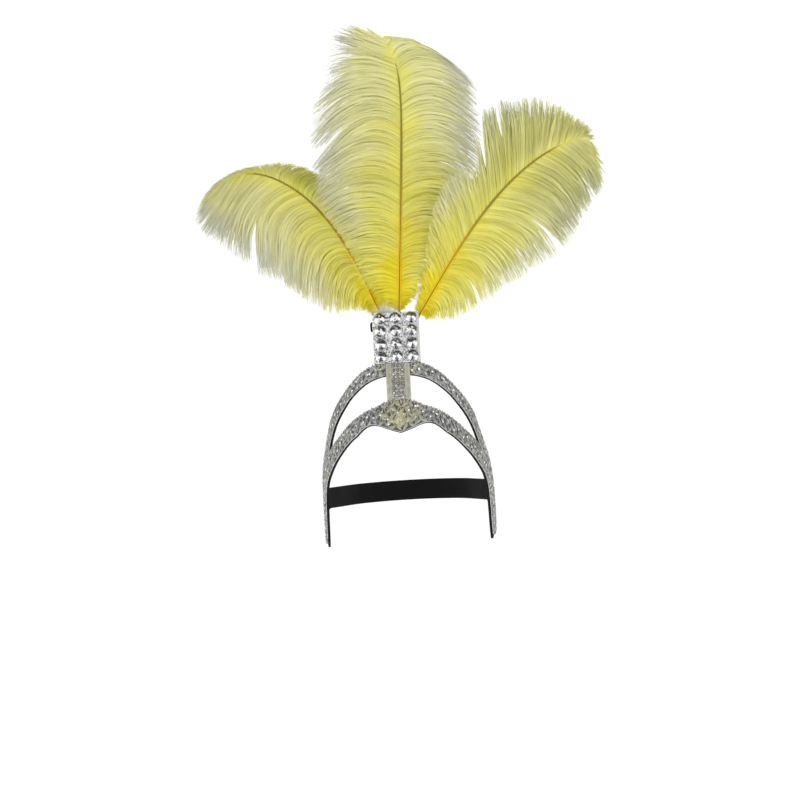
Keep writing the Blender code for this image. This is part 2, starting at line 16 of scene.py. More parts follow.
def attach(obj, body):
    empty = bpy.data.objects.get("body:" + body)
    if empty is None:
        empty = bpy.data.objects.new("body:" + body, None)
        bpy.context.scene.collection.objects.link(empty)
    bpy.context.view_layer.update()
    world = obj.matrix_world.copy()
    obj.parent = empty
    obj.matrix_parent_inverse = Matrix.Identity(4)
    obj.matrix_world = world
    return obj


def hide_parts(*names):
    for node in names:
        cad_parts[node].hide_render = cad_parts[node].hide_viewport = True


bl_info = {
    "name": "Showgirl Feather Headdress",
    "version": (1, 0, 0),
    "blender": (4, 5, 0),
    "location": "3D View > Sidebar > Headdress",
    "description": "Dresses a felt showgirl headdress with lace, stones, a strap and plumes",
    "category": "Add Mesh",
}

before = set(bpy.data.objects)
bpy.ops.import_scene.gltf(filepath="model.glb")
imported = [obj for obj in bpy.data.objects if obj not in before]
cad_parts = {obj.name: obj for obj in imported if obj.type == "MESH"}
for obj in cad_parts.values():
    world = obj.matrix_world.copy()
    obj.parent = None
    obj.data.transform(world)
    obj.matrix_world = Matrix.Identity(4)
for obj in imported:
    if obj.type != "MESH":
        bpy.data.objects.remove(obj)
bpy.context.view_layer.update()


def rows_of(kind, *rows):
    """A table whose rows are all of one kind."""
    return tuple(kind(*row) for row in rows)


# Edges of the felt sheet, one row for each step from the middle of the front to the notch beside
# the temple. Heights above the origin are shares of the arch's rise, and those below it are
# shares of the flap's drop.
FrontRib = namedtuple("FrontRib", "band_low band_top arch_low arch_top")
FRONT_RIBS = rows_of(
    FrontRib,
    (0.000, 0.468, 0.831, 1.000),
    (0.034, 0.461, 0.827, 1.000),
    (0.075, 0.439, 0.812, 0.994),
    (0.114, 0.383, 0.784, 0.981),
    (0.119, 0.344, 0.740, 0.943),
    (0.068, 0.296, 0.674, 0.878),
    (-0.013, 0.236, 0.591, 0.792),
    (-0.057, 0.162, 0.496, 0.691),
    (-0.110, 0.074, 0.377, 0.584),
    (-0.167, -0.008, 0.257, 0.474),
    (-0.225, -0.057, 0.119, 0.344),
    (-0.288, -0.110, -0.035, 0.195),
    (-0.354, -0.161, -0.161, -0.008),
)

# Each row crosses the side flap from its front edge over the seam of the laces to its rear edge.
# Turns are shares of a quarter turn, and heights follow the same rule as above.
FlapRib = namedtuple("FlapRib", "front_turn front seam_turn seam rear_turn rear")
FLAP_RIBS = rows_of(
    FlapRib,
    (0.724, -0.402, 0.739, -0.244, 0.761, -0.157),
    (0.758, -0.461, 0.794, -0.346, 0.833, -0.268),
    (0.784, -0.543, 0.844, -0.472, 0.908, -0.409),
    (0.798, -0.646, 0.881, -0.614, 0.967, -0.583),
    (0.807, -0.764, 0.898, -0.756, 0.994, -0.748),
    (0.813, -0.866, 0.894, -0.866, 0.978, -0.866),
    (0.820, -0.941, 0.876, -0.945, 0.928, -0.937),
    (0.831, -1.000, 0.840, -1.000, 0.849, -1.000),
)
NOTCH_PLACE = len(FRONT_RIBS) - 1
TIP_PLACE = len(FRONT_RIBS) + len(FLAP_RIBS) - 1
BARE_RIBS = 0.65

# The strap behind the flaps: x is a share of the hollow's half width, y of the strap's depth.
StrapPoint = namedtuple("StrapPoint", "x y")
STRAP_FREE = rows_of(
    StrapPoint,
    (0.968, -0.045),
    (0.925, 0.06),
    (0.865, 0.19),
    (0.800, 0.34),
    (0.735, 0.49),
    (0.640, 0.65),
    (0.495, 0.80),
    (0.270, 0.945),
    (0.000, 1.00),
)
STRAP_SEWN_TURNS = (0.840, 0.875, 0.910)

# Tips of the barbs, as shares of the vane's reach out from the stem and onwards along it.
Barbs = namedtuple("Barbs", "share left_out left_on right_out right_on")
CENTER_VANE = rows_of(
    Barbs,
    (0.125, 0.10, 0.00, 0.07, 0.03),
    (0.20, 0.42, 0.02, 0.30, 0.00),
    (0.34, 0.66, 0.03, 0.57, 0.03),
    (0.50, 0.95, -0.12, 0.78, -0.05),
    (0.62, 0.97, -0.23, 0.88, -0.13),
    (0.72, 1.02, -0.36, 0.91, -0.15),
    (0.80, 1.03, -0.18, 0.88, -0.19),
    (0.87, 0.86, 0.09, 0.85, -0.27),
    (0.92, 0.62, 0.43, 0.73, -0.41),
    (0.96, 0.43, 0.48, 0.44, -0.38),
    (0.98, 0.22, 0.45, 0.24, -0.24),
    (1.00, 0.04, 0.27, 0.06, -0.04),
)
LEFT_VANE = rows_of(
    Barbs,
    (0.155, 0.08, 0.00, 0.08, 0.00),
    (0.245, 0.24, -0.15, 0.20, -0.02),
    (0.36, 0.54, -0.36, 0.33, -0.09),
    (0.48, 0.75, -0.37, 0.38, -0.12),
    (0.60, 0.87, -0.37, 0.39, -0.12),
    (0.70, 1.02, -0.20, 0.31, -0.08),
    (0.765, 1.00, 0.06, 0.25, -0.04),
    (0.83, 0.88, 0.32, 0.10, 0.08),
    (0.90, 0.67, 0.58, 0.02, 0.18),
    (0.95, 0.40, 0.71, -0.02, 0.30),
    (0.98, 0.22, 0.67, -0.05, 0.40),
    (1.00, 0.09, 0.53, -0.08, 0.49),
)
RIGHT_VANE = rows_of(
    Barbs,
    (0.145, 0.08, 0.02, 0.08, -0.02),
    (0.245, 0.24, 0.18, 0.39, -0.15),
    (0.345, 0.46, 0.35, 0.61, -0.08),
    (0.475, 0.55, 0.42, 0.81, 0.00),
    (0.56, 0.40, 0.40, 0.93, 0.10),
    (0.595, 0.73, 0.68, 0.95, 0.16),
    (0.635, 0.73, 0.61, 0.94, 0.19),
    (0.72, 0.67, 0.53, 0.87, 0.18),
    (0.80, 0.54, 0.44, 0.79, 0.20),
    (0.88, 0.35, 0.30, 0.69, 0.24),
    (0.945, 0.19, 0.21, 0.54, 0.28),
    (0.97, 0.10, 0.19, 0.38, 0.28),
    (1.00, -0.02, 0.15, 0.02, 0.16),
)

# foot is a share of the quill's width and length is a share of the plume's. lean and bend set the
# sideways angle along the stem and hook turns its tip further. foot_back and vane_back are its
# slope backwards, and curl is its tip's.
Plume = namedtuple(
    "Plume",
    "name seed foot length lean bend bend_power hook foot_back vane_back curl layer vane",
)
PLUMES = rows_of(
    Plume,
    ("plume_right", 11, 0.50, 0.906, 33, 52, 3.2, 0, 14.5, 1, 42, 0, RIGHT_VANE),
    ("plume_center", 23, 0.375, 1.00, 3.6, -48, 12, 0, 9.1, 11.5, 42, 1, CENTER_VANE),
    ("plume_left", 37, 0.00, 0.884, -22, -86, 3.0, -20, 14, 15, 38, 2, LEFT_VANE),
)

# How much painted olive shade is on the left and on the right of a vane's outer part, and how
# much less of it there is at the tip.
PAINTED_SHADE_SHARES = {
    "plume_center": (0.0, 0.0, 0.0),
    "plume_left": (0.0, 0.75, 1.0),
    "plume_right": (0.42, 0.34, 0.0),
}

# Leaves of the middle motif: along is from the middle of the band, across is a share of its
# width, and turn is in degrees from the lace's direction.
MotifLeaf = namedtuple("MotifLeaf", "along across turn length width")
MOTIF = rows_of(
    MotifLeaf,
    (0.0000, 0.42, 90, 0.0185, 0.0130),
    (0.0105, 0.36, 30, 0.0110, 0.0050),
    (0.0190, 0.52, 12, 0.0115, 0.0052),
    (0.0085, 0.76, 55, 0.0085, 0.0040),
)

# The end of the wire that sticks out beside the panel, as x and the height above the arch.
WIRE_END = ((-0.0235, 0.0470), (-0.0260, 0.0468), (-0.0273, 0.0450), (-0.0268, 0.0370))

# The middle and the spread of the grey down above the panel.
DOWN_PLACE = (-0.0108, -0.0722, 0.1275)
DOWN_SPREAD = (0.0050, 0.0022, 0.0022)

# Where a vane has come apart: side is -1 on the left, share is the place on the stem, depth is
# where along the barbs the slit starts, width is the share of the stem that moves aside for it,
# and gap is how far each lip moves, as a share of the vane's reach.
Slit = namedtuple("Slit", "side share depth width gap")
SLITS = {
    "plume_center": rows_of(
        Slit,
        (-1, 0.715, 0.42, 0.04, 0.085),
        (-1, 0.800, 0.60, 0.012, 0.028),
        (-1, 0.865, 0.55, 0.012, 0.028),
        (-1, 0.915, 0.50, 0.010, 0.030),
        (-1, 0.955, 0.45, 0.010, 0.030),
    ),
    "plume_left": rows_of(Slit, (-1, 0.722, 0.38, 0.03, 0.080)),
    "plume_right": rows_of(
        Slit,
        (1, 0.577, 0.26, 0.03, 0.055),
        (1, 0.860, 0.30, 0.02, 0.045),
        (-1, 0.585, 0.30, 0.04, 0.060),
        (-1, 0.672, 0.38, 0.012, 0.055),
        (-1, 0.700, 0.60, 0.010, 0.022),
        (-1, 0.740, 0.62, 0.010, 0.022),
        (-1, 0.775, 0.60, 0.010, 0.022),
        (-1, 0.825, 0.55, 0.012, 0.026),
    ),
}

# One kind of barb: how many there are on a side, the points of each, its width and twist, how
# far it is drawn into its lock, how much lengths differ, and its share of the vane's thickness.
BarbKind = namedtuple("BarbKind", "count points width twist clump spread layer")

# Places along a barb, and the share of the vane's thickness that there is at each.
BARB_PLACES = (0.0, 0.16, 0.42, 0.72, 1.0)
BARB_PROFILE = (0.10, 0.34, 0.50, 0.36, 0.05)

# Locks on a side of a vane, how far a barb waves, strays onwards and strays forwards, half the
# widths of a barbule and of a hair of down, and the UV maps of the vanes and of the quills.
LOCKS = 38
BARB_WAVE = 0.0009
BARB_STRAY = 0.0018
BARB_FLUFF = 0.0016
BARBULE_HALF = 0.00009
DOWN_HALF = 0.00014
VANE_MAP = "OFBake"
QUILL_MAP = "round"

# How far the parts of the lace stand out from its back.
LACE_OUT = {
    "net": 0.0005,
    "edge": 0.0007,
    "leaf": 0.0008,
    "scroll": 0.0012,
    "motif": 0.0013,
    "stone": 0.0014,
    "sequin": 0.0016,
}

# Height of the motif's leaves, how far from the middle the thread turns silver, and how deep the
# bumps are in felt, thread, net and ribbon.
MOTIF_HEIGHT = 0.0014
CREAM_REACH = 0.030
FINE_BUMP = 0.0003

# Painted reflections on a cut stone's facets: the tone of its painted dark reflection, and the
# turn, spread and brightness of each lobe of painted highlight.
Lobe = namedtuple("Lobe", "turn spread tone")
FACET_DARK_REFLECTION = 0.14
FACET_PAINTED_HIGHLIGHTS = (Lobe(3.50, 0.62, 0.70), Lobe(5.70, 0.50, 0.58))

# Waves of the cords on the post and how far they swing, their thickness and the hems', which
# stand inside the braid's edges, and the braid's own ribs.
POST_TWISTS = 11
POST_SWING = 0.0017
POST_CORD = 0.00055
HEM_CORD = 0.00065
HEM_INSET = 0.0007
BRAID_RIB = 0.0021
BRAID_DEPTH = 0.00022

# The panel: the cell of its net, how far that is raised, the grain of the painted glints of its
# glitter, the film at its edge with its lap over the net, and the beads round a stone.
NET_CELL = 0.0026
NET_RELIEF = 0.0006
GLITTER = 0.0011
FILM_WIDTH = 0.0034
FILM_LAP = 0.0032
SETTING_BEADS = 20
BEAD_RADIUS = 0.0007
WIRE_RADIUS = 0.0012

# Cords across the elastic, and threads along it.
STRAP_CORDS = 20
STRAP_PICKS = 420

# The sweep of the stage's floor, and what its lights point at.
SWEEP_RISE = 1.4
SWEEP_TOP = 3.4
LIGHT_AIM = (0.0, 0.0, 0.1)


def length_property(name, default, description):
    """A size in metres."""
    return FloatProperty(name=name, description=description, default=default, unit="LENGTH")


def colour_property(name, default, description):
    return FloatVectorProperty(
        name=name,
        description=description,
        default=default,
        subtype="COLOR",
        size=3,
        min=0.0,
        max=1.0,
    )


class HeadSizes(bpy.types.PropertyGroup):
    half_width: length_property("Half width", 0.095, "Half the width of the head hollow")
    half_depth: length_property("Half depth", 0.098, "How far the band stands before the origin")
    front_lean: FloatProperty(name="Lean", description="Backward slope of the arch", default=0.16)
    lean_blend: length_property("Lean blend", 0.020, "Height over which the slope begins")
    arch_rise: length_property("Arch rise", 0.077, "Height of the top of the arch")
    flap_drop: length_property("Flap drop", 0.127, "Depth of the tips of the side flaps")
    notch_turn: FloatProperty(
        name="Notch turn",
        description="Turn at which the two laces meet beside the temple",
        default=math.radians(61.5),
        subtype="ANGLE",
    )
    felt: length_property("Felt", 0.0022, "Thickness of the felt")
    gap: length_property("Gap", 0.0003, "Clearance between pieces")
    felt_colour: colour_property("Felt colour", (0.006, 0.006, 0.008), "Dye of the felt")


class LaceSizes(bpy.types.PropertyGroup):
    margin: length_property("Margin", 0.0009, "Felt left bare beside the lace")
    leaf_length: length_property("Leaf length", 0.0090, "Length of an embroidered leaf")
    leaf_width: length_property("Leaf width", 0.0038, "Width of an embroidered leaf")
    leaf_height: length_property("Leaf height", 0.0012, "How far a leaf is raised")
    leaf_step: length_property("Leaf step", 0.0066, "Distance between leaves along the lace")
    leaf_row: length_property("Leaf row", 0.0066, "Distance between rows of leaves")
    picot_step: length_property("Picot step", 0.0036, "Distance between picots")
    repeat: length_property("Repeat", 0.0115, "Length of one repeat of the lace")
    cord: length_property("Cord", 0.0011, "Thickness of the scrolling cord")
    edge_cord: length_property("Edge cord", 0.0009, "Thickness of the cord along the edges")
    sequin: length_property("Sequin", 0.0026, "Width of a sequin")
    stone: length_property("Stone", 0.0028, "Width of a small stone")
    silver: colour_property("Silver", (0.46, 0.46, 0.44), "Metallic thread")
    shade: colour_property("Shade", (0.050, 0.052, 0.050), "Net between the leaves")
    cream: colour_property("Cream", (0.58, 0.56, 0.36), "Thread near the middle of the front")


class PostSizes(bpy.types.PropertyGroup):
    width: length_property("Width", 0.026, "Width of the post")
    ribbon: length_property("Ribbon", 0.0010, "Thickness of the ribbon")
    strip_width: length_property("Strip width", 0.0140, "Width of the strip of stones")
    strip: length_property("Strip", 0.0008, "Thickness of the strip")
    stone: length_property("Stone", 0.0041, "Width of a stone on the post")
    stone_height: length_property("Stone height", 0.0018, "Height of a stone on the post")
    columns: IntProperty(name="Columns", description="Stones across the post", default=3)
    rows: IntProperty(name="Rows", description="Stones up the post", default=8)
    cream: colour_property("Cream", (0.90, 0.88, 0.72), "Colour of the ribbon")


class PanelSizes(bpy.types.PropertyGroup):
    width: length_property("Width", 0.050, "Width of the stone panel")
    height: length_property("Height", 0.057, "Height of the stone panel")
    mesh: length_property("Mesh", 0.0012, "Thickness of the clear mesh")
    seat_width: length_property("Seat width", 0.0140, "Width of the seat under a stone")
    seat: length_property("Seat", 0.0008, "Height of the seat under a stone")
    stone: length_property("Stone", 0.0124, "Width of a stone")
    stone_height: length_property("Stone height", 0.0042, "Height of a stone")
    girdle: length_property("Girdle", 0.0012, "Height of a stone's upright side")
    table: FloatProperty(name="Table", description="Width of the table to the stone", default=0.56)
    columns: IntProperty(name="Columns", description="Stones across the panel", default=3)
    rows: IntProperty(name="Rows", description="Stones up the panel", default=4)


class StrapSizes(bpy.types.PropertyGroup):
    height: length_property("Height", 0.024, "Width of the elastic")
    thickness: length_property("Thickness", 0.0014, "Thickness of the elastic")
    level: length_property("Level", -0.072, "Height of the middle of the strap")
    depth: length_property("Depth", 0.097, "How far back the strap reaches")
    colour: colour_property("Colour", (0.004, 0.004, 0.005), "Colour of the elastic")


class PlumeSizes(bpy.types.PropertyGroup):
    length: length_property("Length", 0.362, "Length of the longest plume")
    quill: length_property("Quill", 0.0040, "Width of a quill at its foot")
    quill_tip: length_property("Quill tip", 0.0012, "Width of a quill at its tip")
    quill_bare: length_property("Bare quill", 0.042, "Length of quill below the vane")
    quill_foot: length_property("Quill foot", 0.015, "Height of the foot above the arch")
    quill_gap: length_property("Quill gap", 0.0004, "Gap between the quills")
    reach: length_property("Reach", 0.098, "Length that the barbs' shares refer to")
    thickness: length_property("Thickness", 0.0095, "Thickness of the vane")
    bow: length_property("Bow", 0.006, "How far the barbs' tips come forward")
    lift: FloatProperty(name="Lift", description="How steeply barbs leave the stem", default=0.35)
    arch: FloatProperty(name="Arch", description="How far out barbs bend over", default=0.45)
    barbs: IntProperty(name="Barbs", description="Broad barbs on a side of a vane", default=540)
    strands: IntProperty(name="Strands", description="Fine strands on a side", default=800)
    barbules: IntProperty(name="Barbules", description="Barbules on a side", default=24000)
    barb_width: length_property("Barb width", 0.0027, "Width of a broad barb")
    strand_width: length_property("Strand width", 0.00065, "Width of a fine strand")
    barbule_length: length_property("Barbule length", 0.0030, "Length of a barbule")
    down: IntProperty(name="Down", description="Hairs of down at the feet", default=750)
    down_length: length_property("Down length", 0.016, "Length of a hair of down")
    lemon: colour_property("Lemon", (0.85, 0.81, 0.20), "Dye in the lower half of the vane")
    deep: colour_property("Deep yellow", (0.88, 0.76, 0.030), "Dye near the foot")
    pale: colour_property("Pale yellow", (0.82, 0.80, 0.40), "Dye in the middle of the vane")
    tip: colour_property("Tip", (0.66, 0.67, 0.55), "Dye at the tips")
    # Colour of the painted olive shade on the outer parts of the vanes.
    painted_shade: colour_property("Olive", (0.50, 0.49, 0.04), "Colour of the shaded outer parts")
    quill_colour: colour_property("Quill colour", (0.85, 0.48, 0.01), "Dye on the quill")


class StageSizes(bpy.types.PropertyGroup):
    floor: length_property("Floor", -0.395, "Height of the floor")
    radius: length_property("Radius", 4.0, "Radius of the sweep round the floor")
    distance: length_property("Distance", 2.25, "Distance of the camera")
    azimuth: FloatProperty(
        name="Azimuth",
        description="Turn of the camera round the headdress",
        default=math.radians(3.0),
        subtype="ANGLE",
    )
    roll: FloatProperty(
        name="Roll",
        description="Roll of the camera",
        default=math.radians(3.3),
        subtype="ANGLE",
    )
    aim_side: length_property("Aim side", -0.0042, "Sideways place that the camera looks at")
    aim_height: length_property("Aim height", 0.0365, "Height that the camera looks at")
    lens: FloatProperty(name="Lens", description="Focal length in millimetres", default=87.61)
    white: colour_property("White", (0.55, 0.55, 0.55), "Colour of the floor")


SIZE_GROUPS = {
    "head": HeadSizes,
    "lace": LaceSizes,
    "post": PostSizes,
    "panel": PanelSizes,
    "strap": StrapSizes,
    "plume": PlumeSizes,
    "stage": StageSizes,
}


def sizes(name):
    """The scene's values for one group of sizes."""
    return getattr(bpy.context.scene, "headdress_" + name)


# Curves and places on the felt sheet


def smooth_step(value):
    value = np.clip(value, 0.0, 1.0)
    return value * value * (3.0 - 2.0 * value)


def table_at(rows, places):
    """Rows of a table read between its rows, on smooth curves through them."""
    rows = np.asarray(rows, float)
    places = np.asarray(places, float)
    index = np.clip(places.astype(int), 0, len(rows) - 2)
    step = (places - index)[..., None]
    before = rows[np.maximum(index - 1, 0)]
    start = rows[index]
    end = rows[index + 1]
    after = rows[np.minimum(index + 2, len(rows) - 1)]
    slope_in = (end - before) / 2
    slope_out = (after - start) / 2
    cube = 2 * start - 2 * end + slope_in + slope_out
    square = -3 * start + 3 * end - 2 * slope_in - slope_out
    return ((cube * step + square) * step + slope_in) * step + start


def unit(vectors):
    return vectors / np.linalg.norm(vectors, axis=-1, keepdims=True)


def height_of(share):
    head = sizes("head")
    return share * (head.arch_rise if share > 0 else head.flap_drop)


def sheet(turn, height, out):
    """Points that stand out from the inner face of the felt, and the directions they stand in."""
    head = sizes("head")
    turn, height, out = np.broadcast_arrays(turn, height, out)
    root = np.hypot(height, head.lean_blend)
    depth = head.half_depth - head.front_lean * (height + root - head.lean_blend) / 2
    slope = head.front_lean * (1 + height / root) / 2
    front = np.cos(turn) / depth
    normal = np.stack([np.sin(turn) / head.half_width, -front, front * np.cos(turn) * slope], -1)
    normal = unit(normal)
    face = np.stack([head.half_width * np.sin(turn), -depth * np.cos(turn), height], -1)
    return face + normal * out[..., None], normal


def turns_of(widths):
    """Turns at which the felt stands this far to the right of the middle."""
    return np.arcsin(np.asarray(widths) / sizes("head").half_width)


def place_of_turn(turn):
    return turn / sizes("head").notch_turn * NOTCH_PLACE


def rib_rows():
    """Turn and height of the four edges of each rib, from the middle to the flap's tip."""
    rows = []
    for index, rib in enumerate(FRONT_RIBS):
        turn = sizes("head").notch_turn * index / NOTCH_PLACE
        rows.append([value for share in rib for value in (turn, height_of(share))])
    quarter = math.pi / 2
    for rib in FLAP_RIBS:
        front = [rib.front_turn * quarter, height_of(rib.front)]
        seam = [rib.seam_turn * quarter, height_of(rib.seam)]
        rear = [rib.rear_turn * quarter, height_of(rib.rear)]
        rows.append(front + seam + seam + rear)
    return rows


class Trim:
    """A trim that lies on the felt between two of its four edges, measured along its middle."""

    def __init__(self, start, end, low, top):
        places = np.linspace(start, end, 800)
        rows = table_at(rib_rows(), np.abs(places))
        rows[:, 0::2] *= np.where(places < 0, -1.0, 1.0)[:, None]
        self.edges = rows[:, [2 * low, 2 * low + 1, 2 * top, 2 * top + 1]]
        lower, _ = sheet(self.edges[:, 0], self.edges[:, 1], 0.0)
        upper, _ = sheet(self.edges[:, 2], self.edges[:, 3], 0.0)
        steps = np.linalg.norm(np.diff((lower + upper) / 2, axis=0), axis=1)
        self.along = np.concatenate([[0.0], np.cumsum(steps)])
        self.widths = np.linalg.norm(upper - lower, axis=1)
        self.length = self.along[-1]

    def width(self, along):
        return np.interp(along, self.along, self.widths)

    def points(self, along, across, out):
        """Points of the trim. across is a share of its width, and out is from the felt's face."""
        first_turn, first, last_turn, last = (
            np.interp(along, self.along, column) for column in self.edges.T
        )
        turn = first_turn + (last_turn - first_turn) * across
        height = first + (last - first) * across
        return sheet(turn, height, sizes("head").felt + out)[0]

    def line(self, along, across, out):
        """A line on the trim, and the directions that it stands out in."""
        line = self.points(along, across, out)
        return line, unit(self.points(along, across, out + 0.001) - line)

    def laid(self, shape, along, across, turns, out, scales=1.0):
        """Copies of a flat shape's points, each turned, scaled and laid at its own place."""
        cos, sin = np.cos(turns)[:, None], np.sin(turns)[:, None]
        scales = np.broadcast_to(scales, np.shape(turns))[:, None]
        x = (shape[:, 0] * cos - shape[:, 1] * sin) * scales
        y = (shape[:, 0] * sin + shape[:, 1] * cos) * scales
        middle = np.broadcast_to(along, np.shape(turns))[:, None]
        side = np.broadcast_to(across, np.shape(turns))[:, None]
        width = np.maximum(self.width(middle), 0.002)
        raised = shape[:, 2][None, :] * scales + np.broadcast_to(out, np.shape(turns))[:, None]
        return self.points(middle + x, side + y / width, raised)


# Meshes


def new_object(name, data):
    obj = bpy.data.objects.new(name, data)
    bpy.context.scene.collection.objects.link(obj)
    return obj


def mesh_of(bm, name="shape"):
    mesh = bpy.data.meshes.new(name)
    bm.to_mesh(mesh)
    bm.free()
    return mesh


def triples(items, name):
    """Three numbers of each item of a mesh, as rows."""
    found = np.empty(len(items) * 3)
    items.foreach_get(name, found)
    return found.reshape(-1, 3)


def coordinates(mesh):
    return triples(mesh.vertices, "co")


def move_points(mesh, points):
    mesh.vertices.foreach_set("co", np.ascontiguousarray(points, np.float32).ravel())
    mesh.update()


def copies_of(bm, count, name):
    """A mesh of this many copies of a shape, one after another, and the shape's own points."""
    shape = mesh_of(bm)
    obj = new_object("copied_shape", shape)
    array = obj.modifiers.new("copies", "ARRAY")
    array.count = count
    array.use_relative_offset = False
    array.use_constant_offset = True
    array.constant_offset_displace = (1.0, 0.0, 0.0)
    graph = bpy.context.evaluated_depsgraph_get()
    mesh = bpy.data.meshes.new_from_object(obj.evaluated_get(graph))
    mesh.name = name
    bpy.data.objects.remove(obj, do_unlink=True)
    return mesh, coordinates(shape)


def add_map(mesh, name, places):
    """Gives each corner of the mesh its point's place on a map."""
    corners = np.empty(len(mesh.loops), np.int32)
    mesh.loops.foreach_get("vertex_index", corners)
    layer = mesh.uv_layers.get(name) or mesh.uv_layers.new(name=name)
    layer.data.foreach_set("uv", np.ascontiguousarray(places[corners], np.float32).ravel())


def add_values(mesh, name, domain, values):
    layer = mesh.attributes.new(name, "FLOAT", domain)
    layer.data.foreach_set("value", values.astype(np.float32))


def add_painted_glints(mesh, rng):
    """Gives each face a tone of its own between 0 and 1, which paints its glint dark or bright."""
    add_values(mesh, "tone", "FACE", rng.random(len(mesh.polygons)))


def add_painted_glitter_glints(mesh, rng, grain):
    """Gives each small patch of the sheet a tone of its own between 0 and 1, for painted glints."""
    x, _, z = np.floor(triples(mesh.polygons, "center") / grain).astype(int).T
    add_values(mesh, "tone", "FACE", rng.random((64, 64))[x % 64, z % 64])


def add_painted_facet_reflections(mesh, rng):
    """Painted reflections on a cut stone's facets: painted dark above, and painted highlights on both
    sides of the lower half.
    """
    x, y, _ = triples(mesh.polygons, "center").T
    turned = (np.arctan2(y, x) - rng.normal(0, 0.2)) % math.tau
    tones = FACET_DARK_REFLECTION
    for lobe in FACET_PAINTED_HIGHLIGHTS:
        tones = tones + lobe.tone * np.exp(-(((turned - lobe.turn) / lobe.spread) ** 2))
    tones = tones + rng.normal(0, 0.15, len(x))
    add_values(mesh, "tone", "FACE", np.clip(tones, 0, 1))


def add_painted_shade(mesh, places, left, right, fade):
    """Paints olive shade on the outer part of a vane, by its points' places on the vane's map."""
    across, share = places.T
    shade = np.where(across < 0.5, left, right) * smooth_step((share - 0.42) / 0.30)
    shade *= smooth_step(np.abs(2 * across - 1) / 0.30)
    shade *= 1 - fade * smooth_step((share - 0.70) / 0.22)
    add_values(mesh, "painted_shade", "POINT", shade)


def add_piece(name, mesh, material, replaced=(), smooth=True):
    """Makes the mesh a piece of the headdress, which may stand for nodes of the frame."""
    mesh.name = name
    mesh.materials.clear()
    mesh.materials.append(material)
    mesh.polygons.foreach_set("use_smooth", [smooth] * len(mesh.polygons))
    obj = new_object(name, mesh)
    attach(obj, "root")
    if replaced:
        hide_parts(*replaced)
    return obj


def grid(across, along):
    """A flat grid from 0 to 1 on both sides, whose points run across first."""
    bm = bmesh.new()
    bmesh.ops.create_grid(bm, x_segments=across, y_segments=along, size=0.5)
    bmesh.ops.translate(bm, verts=bm.verts, vec=(0.5, 0.5, 0.0))
    return bm


def tube(sides, along):
    """A tube whose grid wraps round: x is the share round it, y is the share along it."""
    bm = bmesh.new()
    bmesh.ops.create_cone(bm, segments=sides, radius1=1.0, radius2=1.0, depth=1.0)
    edges = [edge for edge in bm.edges if abs(edge.verts[0].co.z - edge.verts[1].co.z) > 0.5]
    bmesh.ops.subdivide_edges(bm, edges=edges, cuts=along - 1)
    bmesh.ops.translate(bm, verts=bm.verts, vec=(0.0, 0.0, 0.5))
    return bm


def bend_tube(line, normals, radius):
    """A round cord that follows the line. Its ends are open and lie inside other cords."""
    mesh = mesh_of(tube(7, len(line) - 1))
    points = coordinates(mesh)
    index = np.rint(points[:, 2] * (len(line) - 1)).astype(int)
    onward = unit(np.gradient(line, axis=0))
    side = unit(np.cross(onward, normals))
    rise = np.cross(onward, side)
    radius = np.broadcast_to(radius, len(line))[index][:, None]
    bent = line[index] + (side[index] * points[:, :1] + rise[index] * points[:, 1:2]) * radius
    move_points(mesh, bent)
    return mesh


def joined(meshes, name):
    """One mesh of several, with their materials left out."""
    bm = bmesh.new()
    for mesh in meshes:
        bm.from_mesh(mesh)
        bpy.data.meshes.remove(mesh)
    return mesh_of(bm, name)


# Materials


def new_material(name):
    made = bpy.data.materials.new(name)
    made.use_nodes = True
    return made, made.node_tree, made.node_tree.nodes["Principled BSDF"]


def brighter(colour, factor):
    return tuple(min(1.0, factor * part) for part in colour)


def set_inputs(tree, node, **inputs):
    """Links or sets a node's inputs, each by its name or by its number after an i."""
    for name, value in inputs.items():
        key = int(name[1:]) if name[1:].isdigit() else name.replace("_", " ")
        socket = node.inputs[key]
        if isinstance(value, bpy.types.NodeSocket):
            tree.links.new(value, socket)
        else:
            socket.default_value = (*value, 1.0) if socket.type == "RGBA" else value


def add_node(tree, kind, settings=None, **inputs):
    node = tree.nodes.new(kind)
    for name, value in (settings or {}).items():
        setattr(node, name, value)
    set_inputs(tree, node, **inputs)
    return node


def math_node(tree, operation, first, second=0.0, third=0.0):
    node = add_node(tree, "ShaderNodeMath", {"operation": operation}, i0=first, i1=second, i2=third)
    return node.outputs[0]


def mix_colours(tree, share, first, second, blend="MIX"):
    settings = {"data_type": "RGBA", "blend_type": blend}
    return add_node(tree, "ShaderNodeMix", settings, i0=share, i6=first, i7=second).outputs[2]


def ramp(tree, value, stops):
    """A colour ramp through (place, colour or grey) stops."""
    node = add_node(tree, "ShaderNodeValToRGB", Fac=value)
    elements = node.color_ramp.elements
    while len(elements) < len(stops):
        elements.new(0.5)
    for element, (place, colour) in zip(elements, stops):
        element.position = place
        element.color = (*colour, 1.0) if hasattr(colour, "__len__") else (*[colour] * 3, 1.0)
    return node.outputs["Color"]


def mapped(tree, place, scale):
    return add_node(tree, "ShaderNodeMapping", Vector=place, Scale=scale).outputs["Vector"]


def object_place(tree, scale=(1.0, 1.0, 1.0)):
    """Object coordinates multiplied by a scale for each axis."""
    return mapped(tree, tree.nodes.new("ShaderNodeTexCoord").outputs["Object"], scale)


def map_place(tree, name):
    """Both coordinates of a UV map, and the map itself."""
    place = add_node(tree, "ShaderNodeUVMap", {"uv_map": name}).outputs["UV"]
    parts = add_node(tree, "ShaderNodeSeparateXYZ", Vector=place).outputs
    return parts["X"], parts["Y"], place


def attribute(tree, name):
    return add_node(tree, "ShaderNodeAttribute", {"attribute_name": name}).outputs["Fac"]


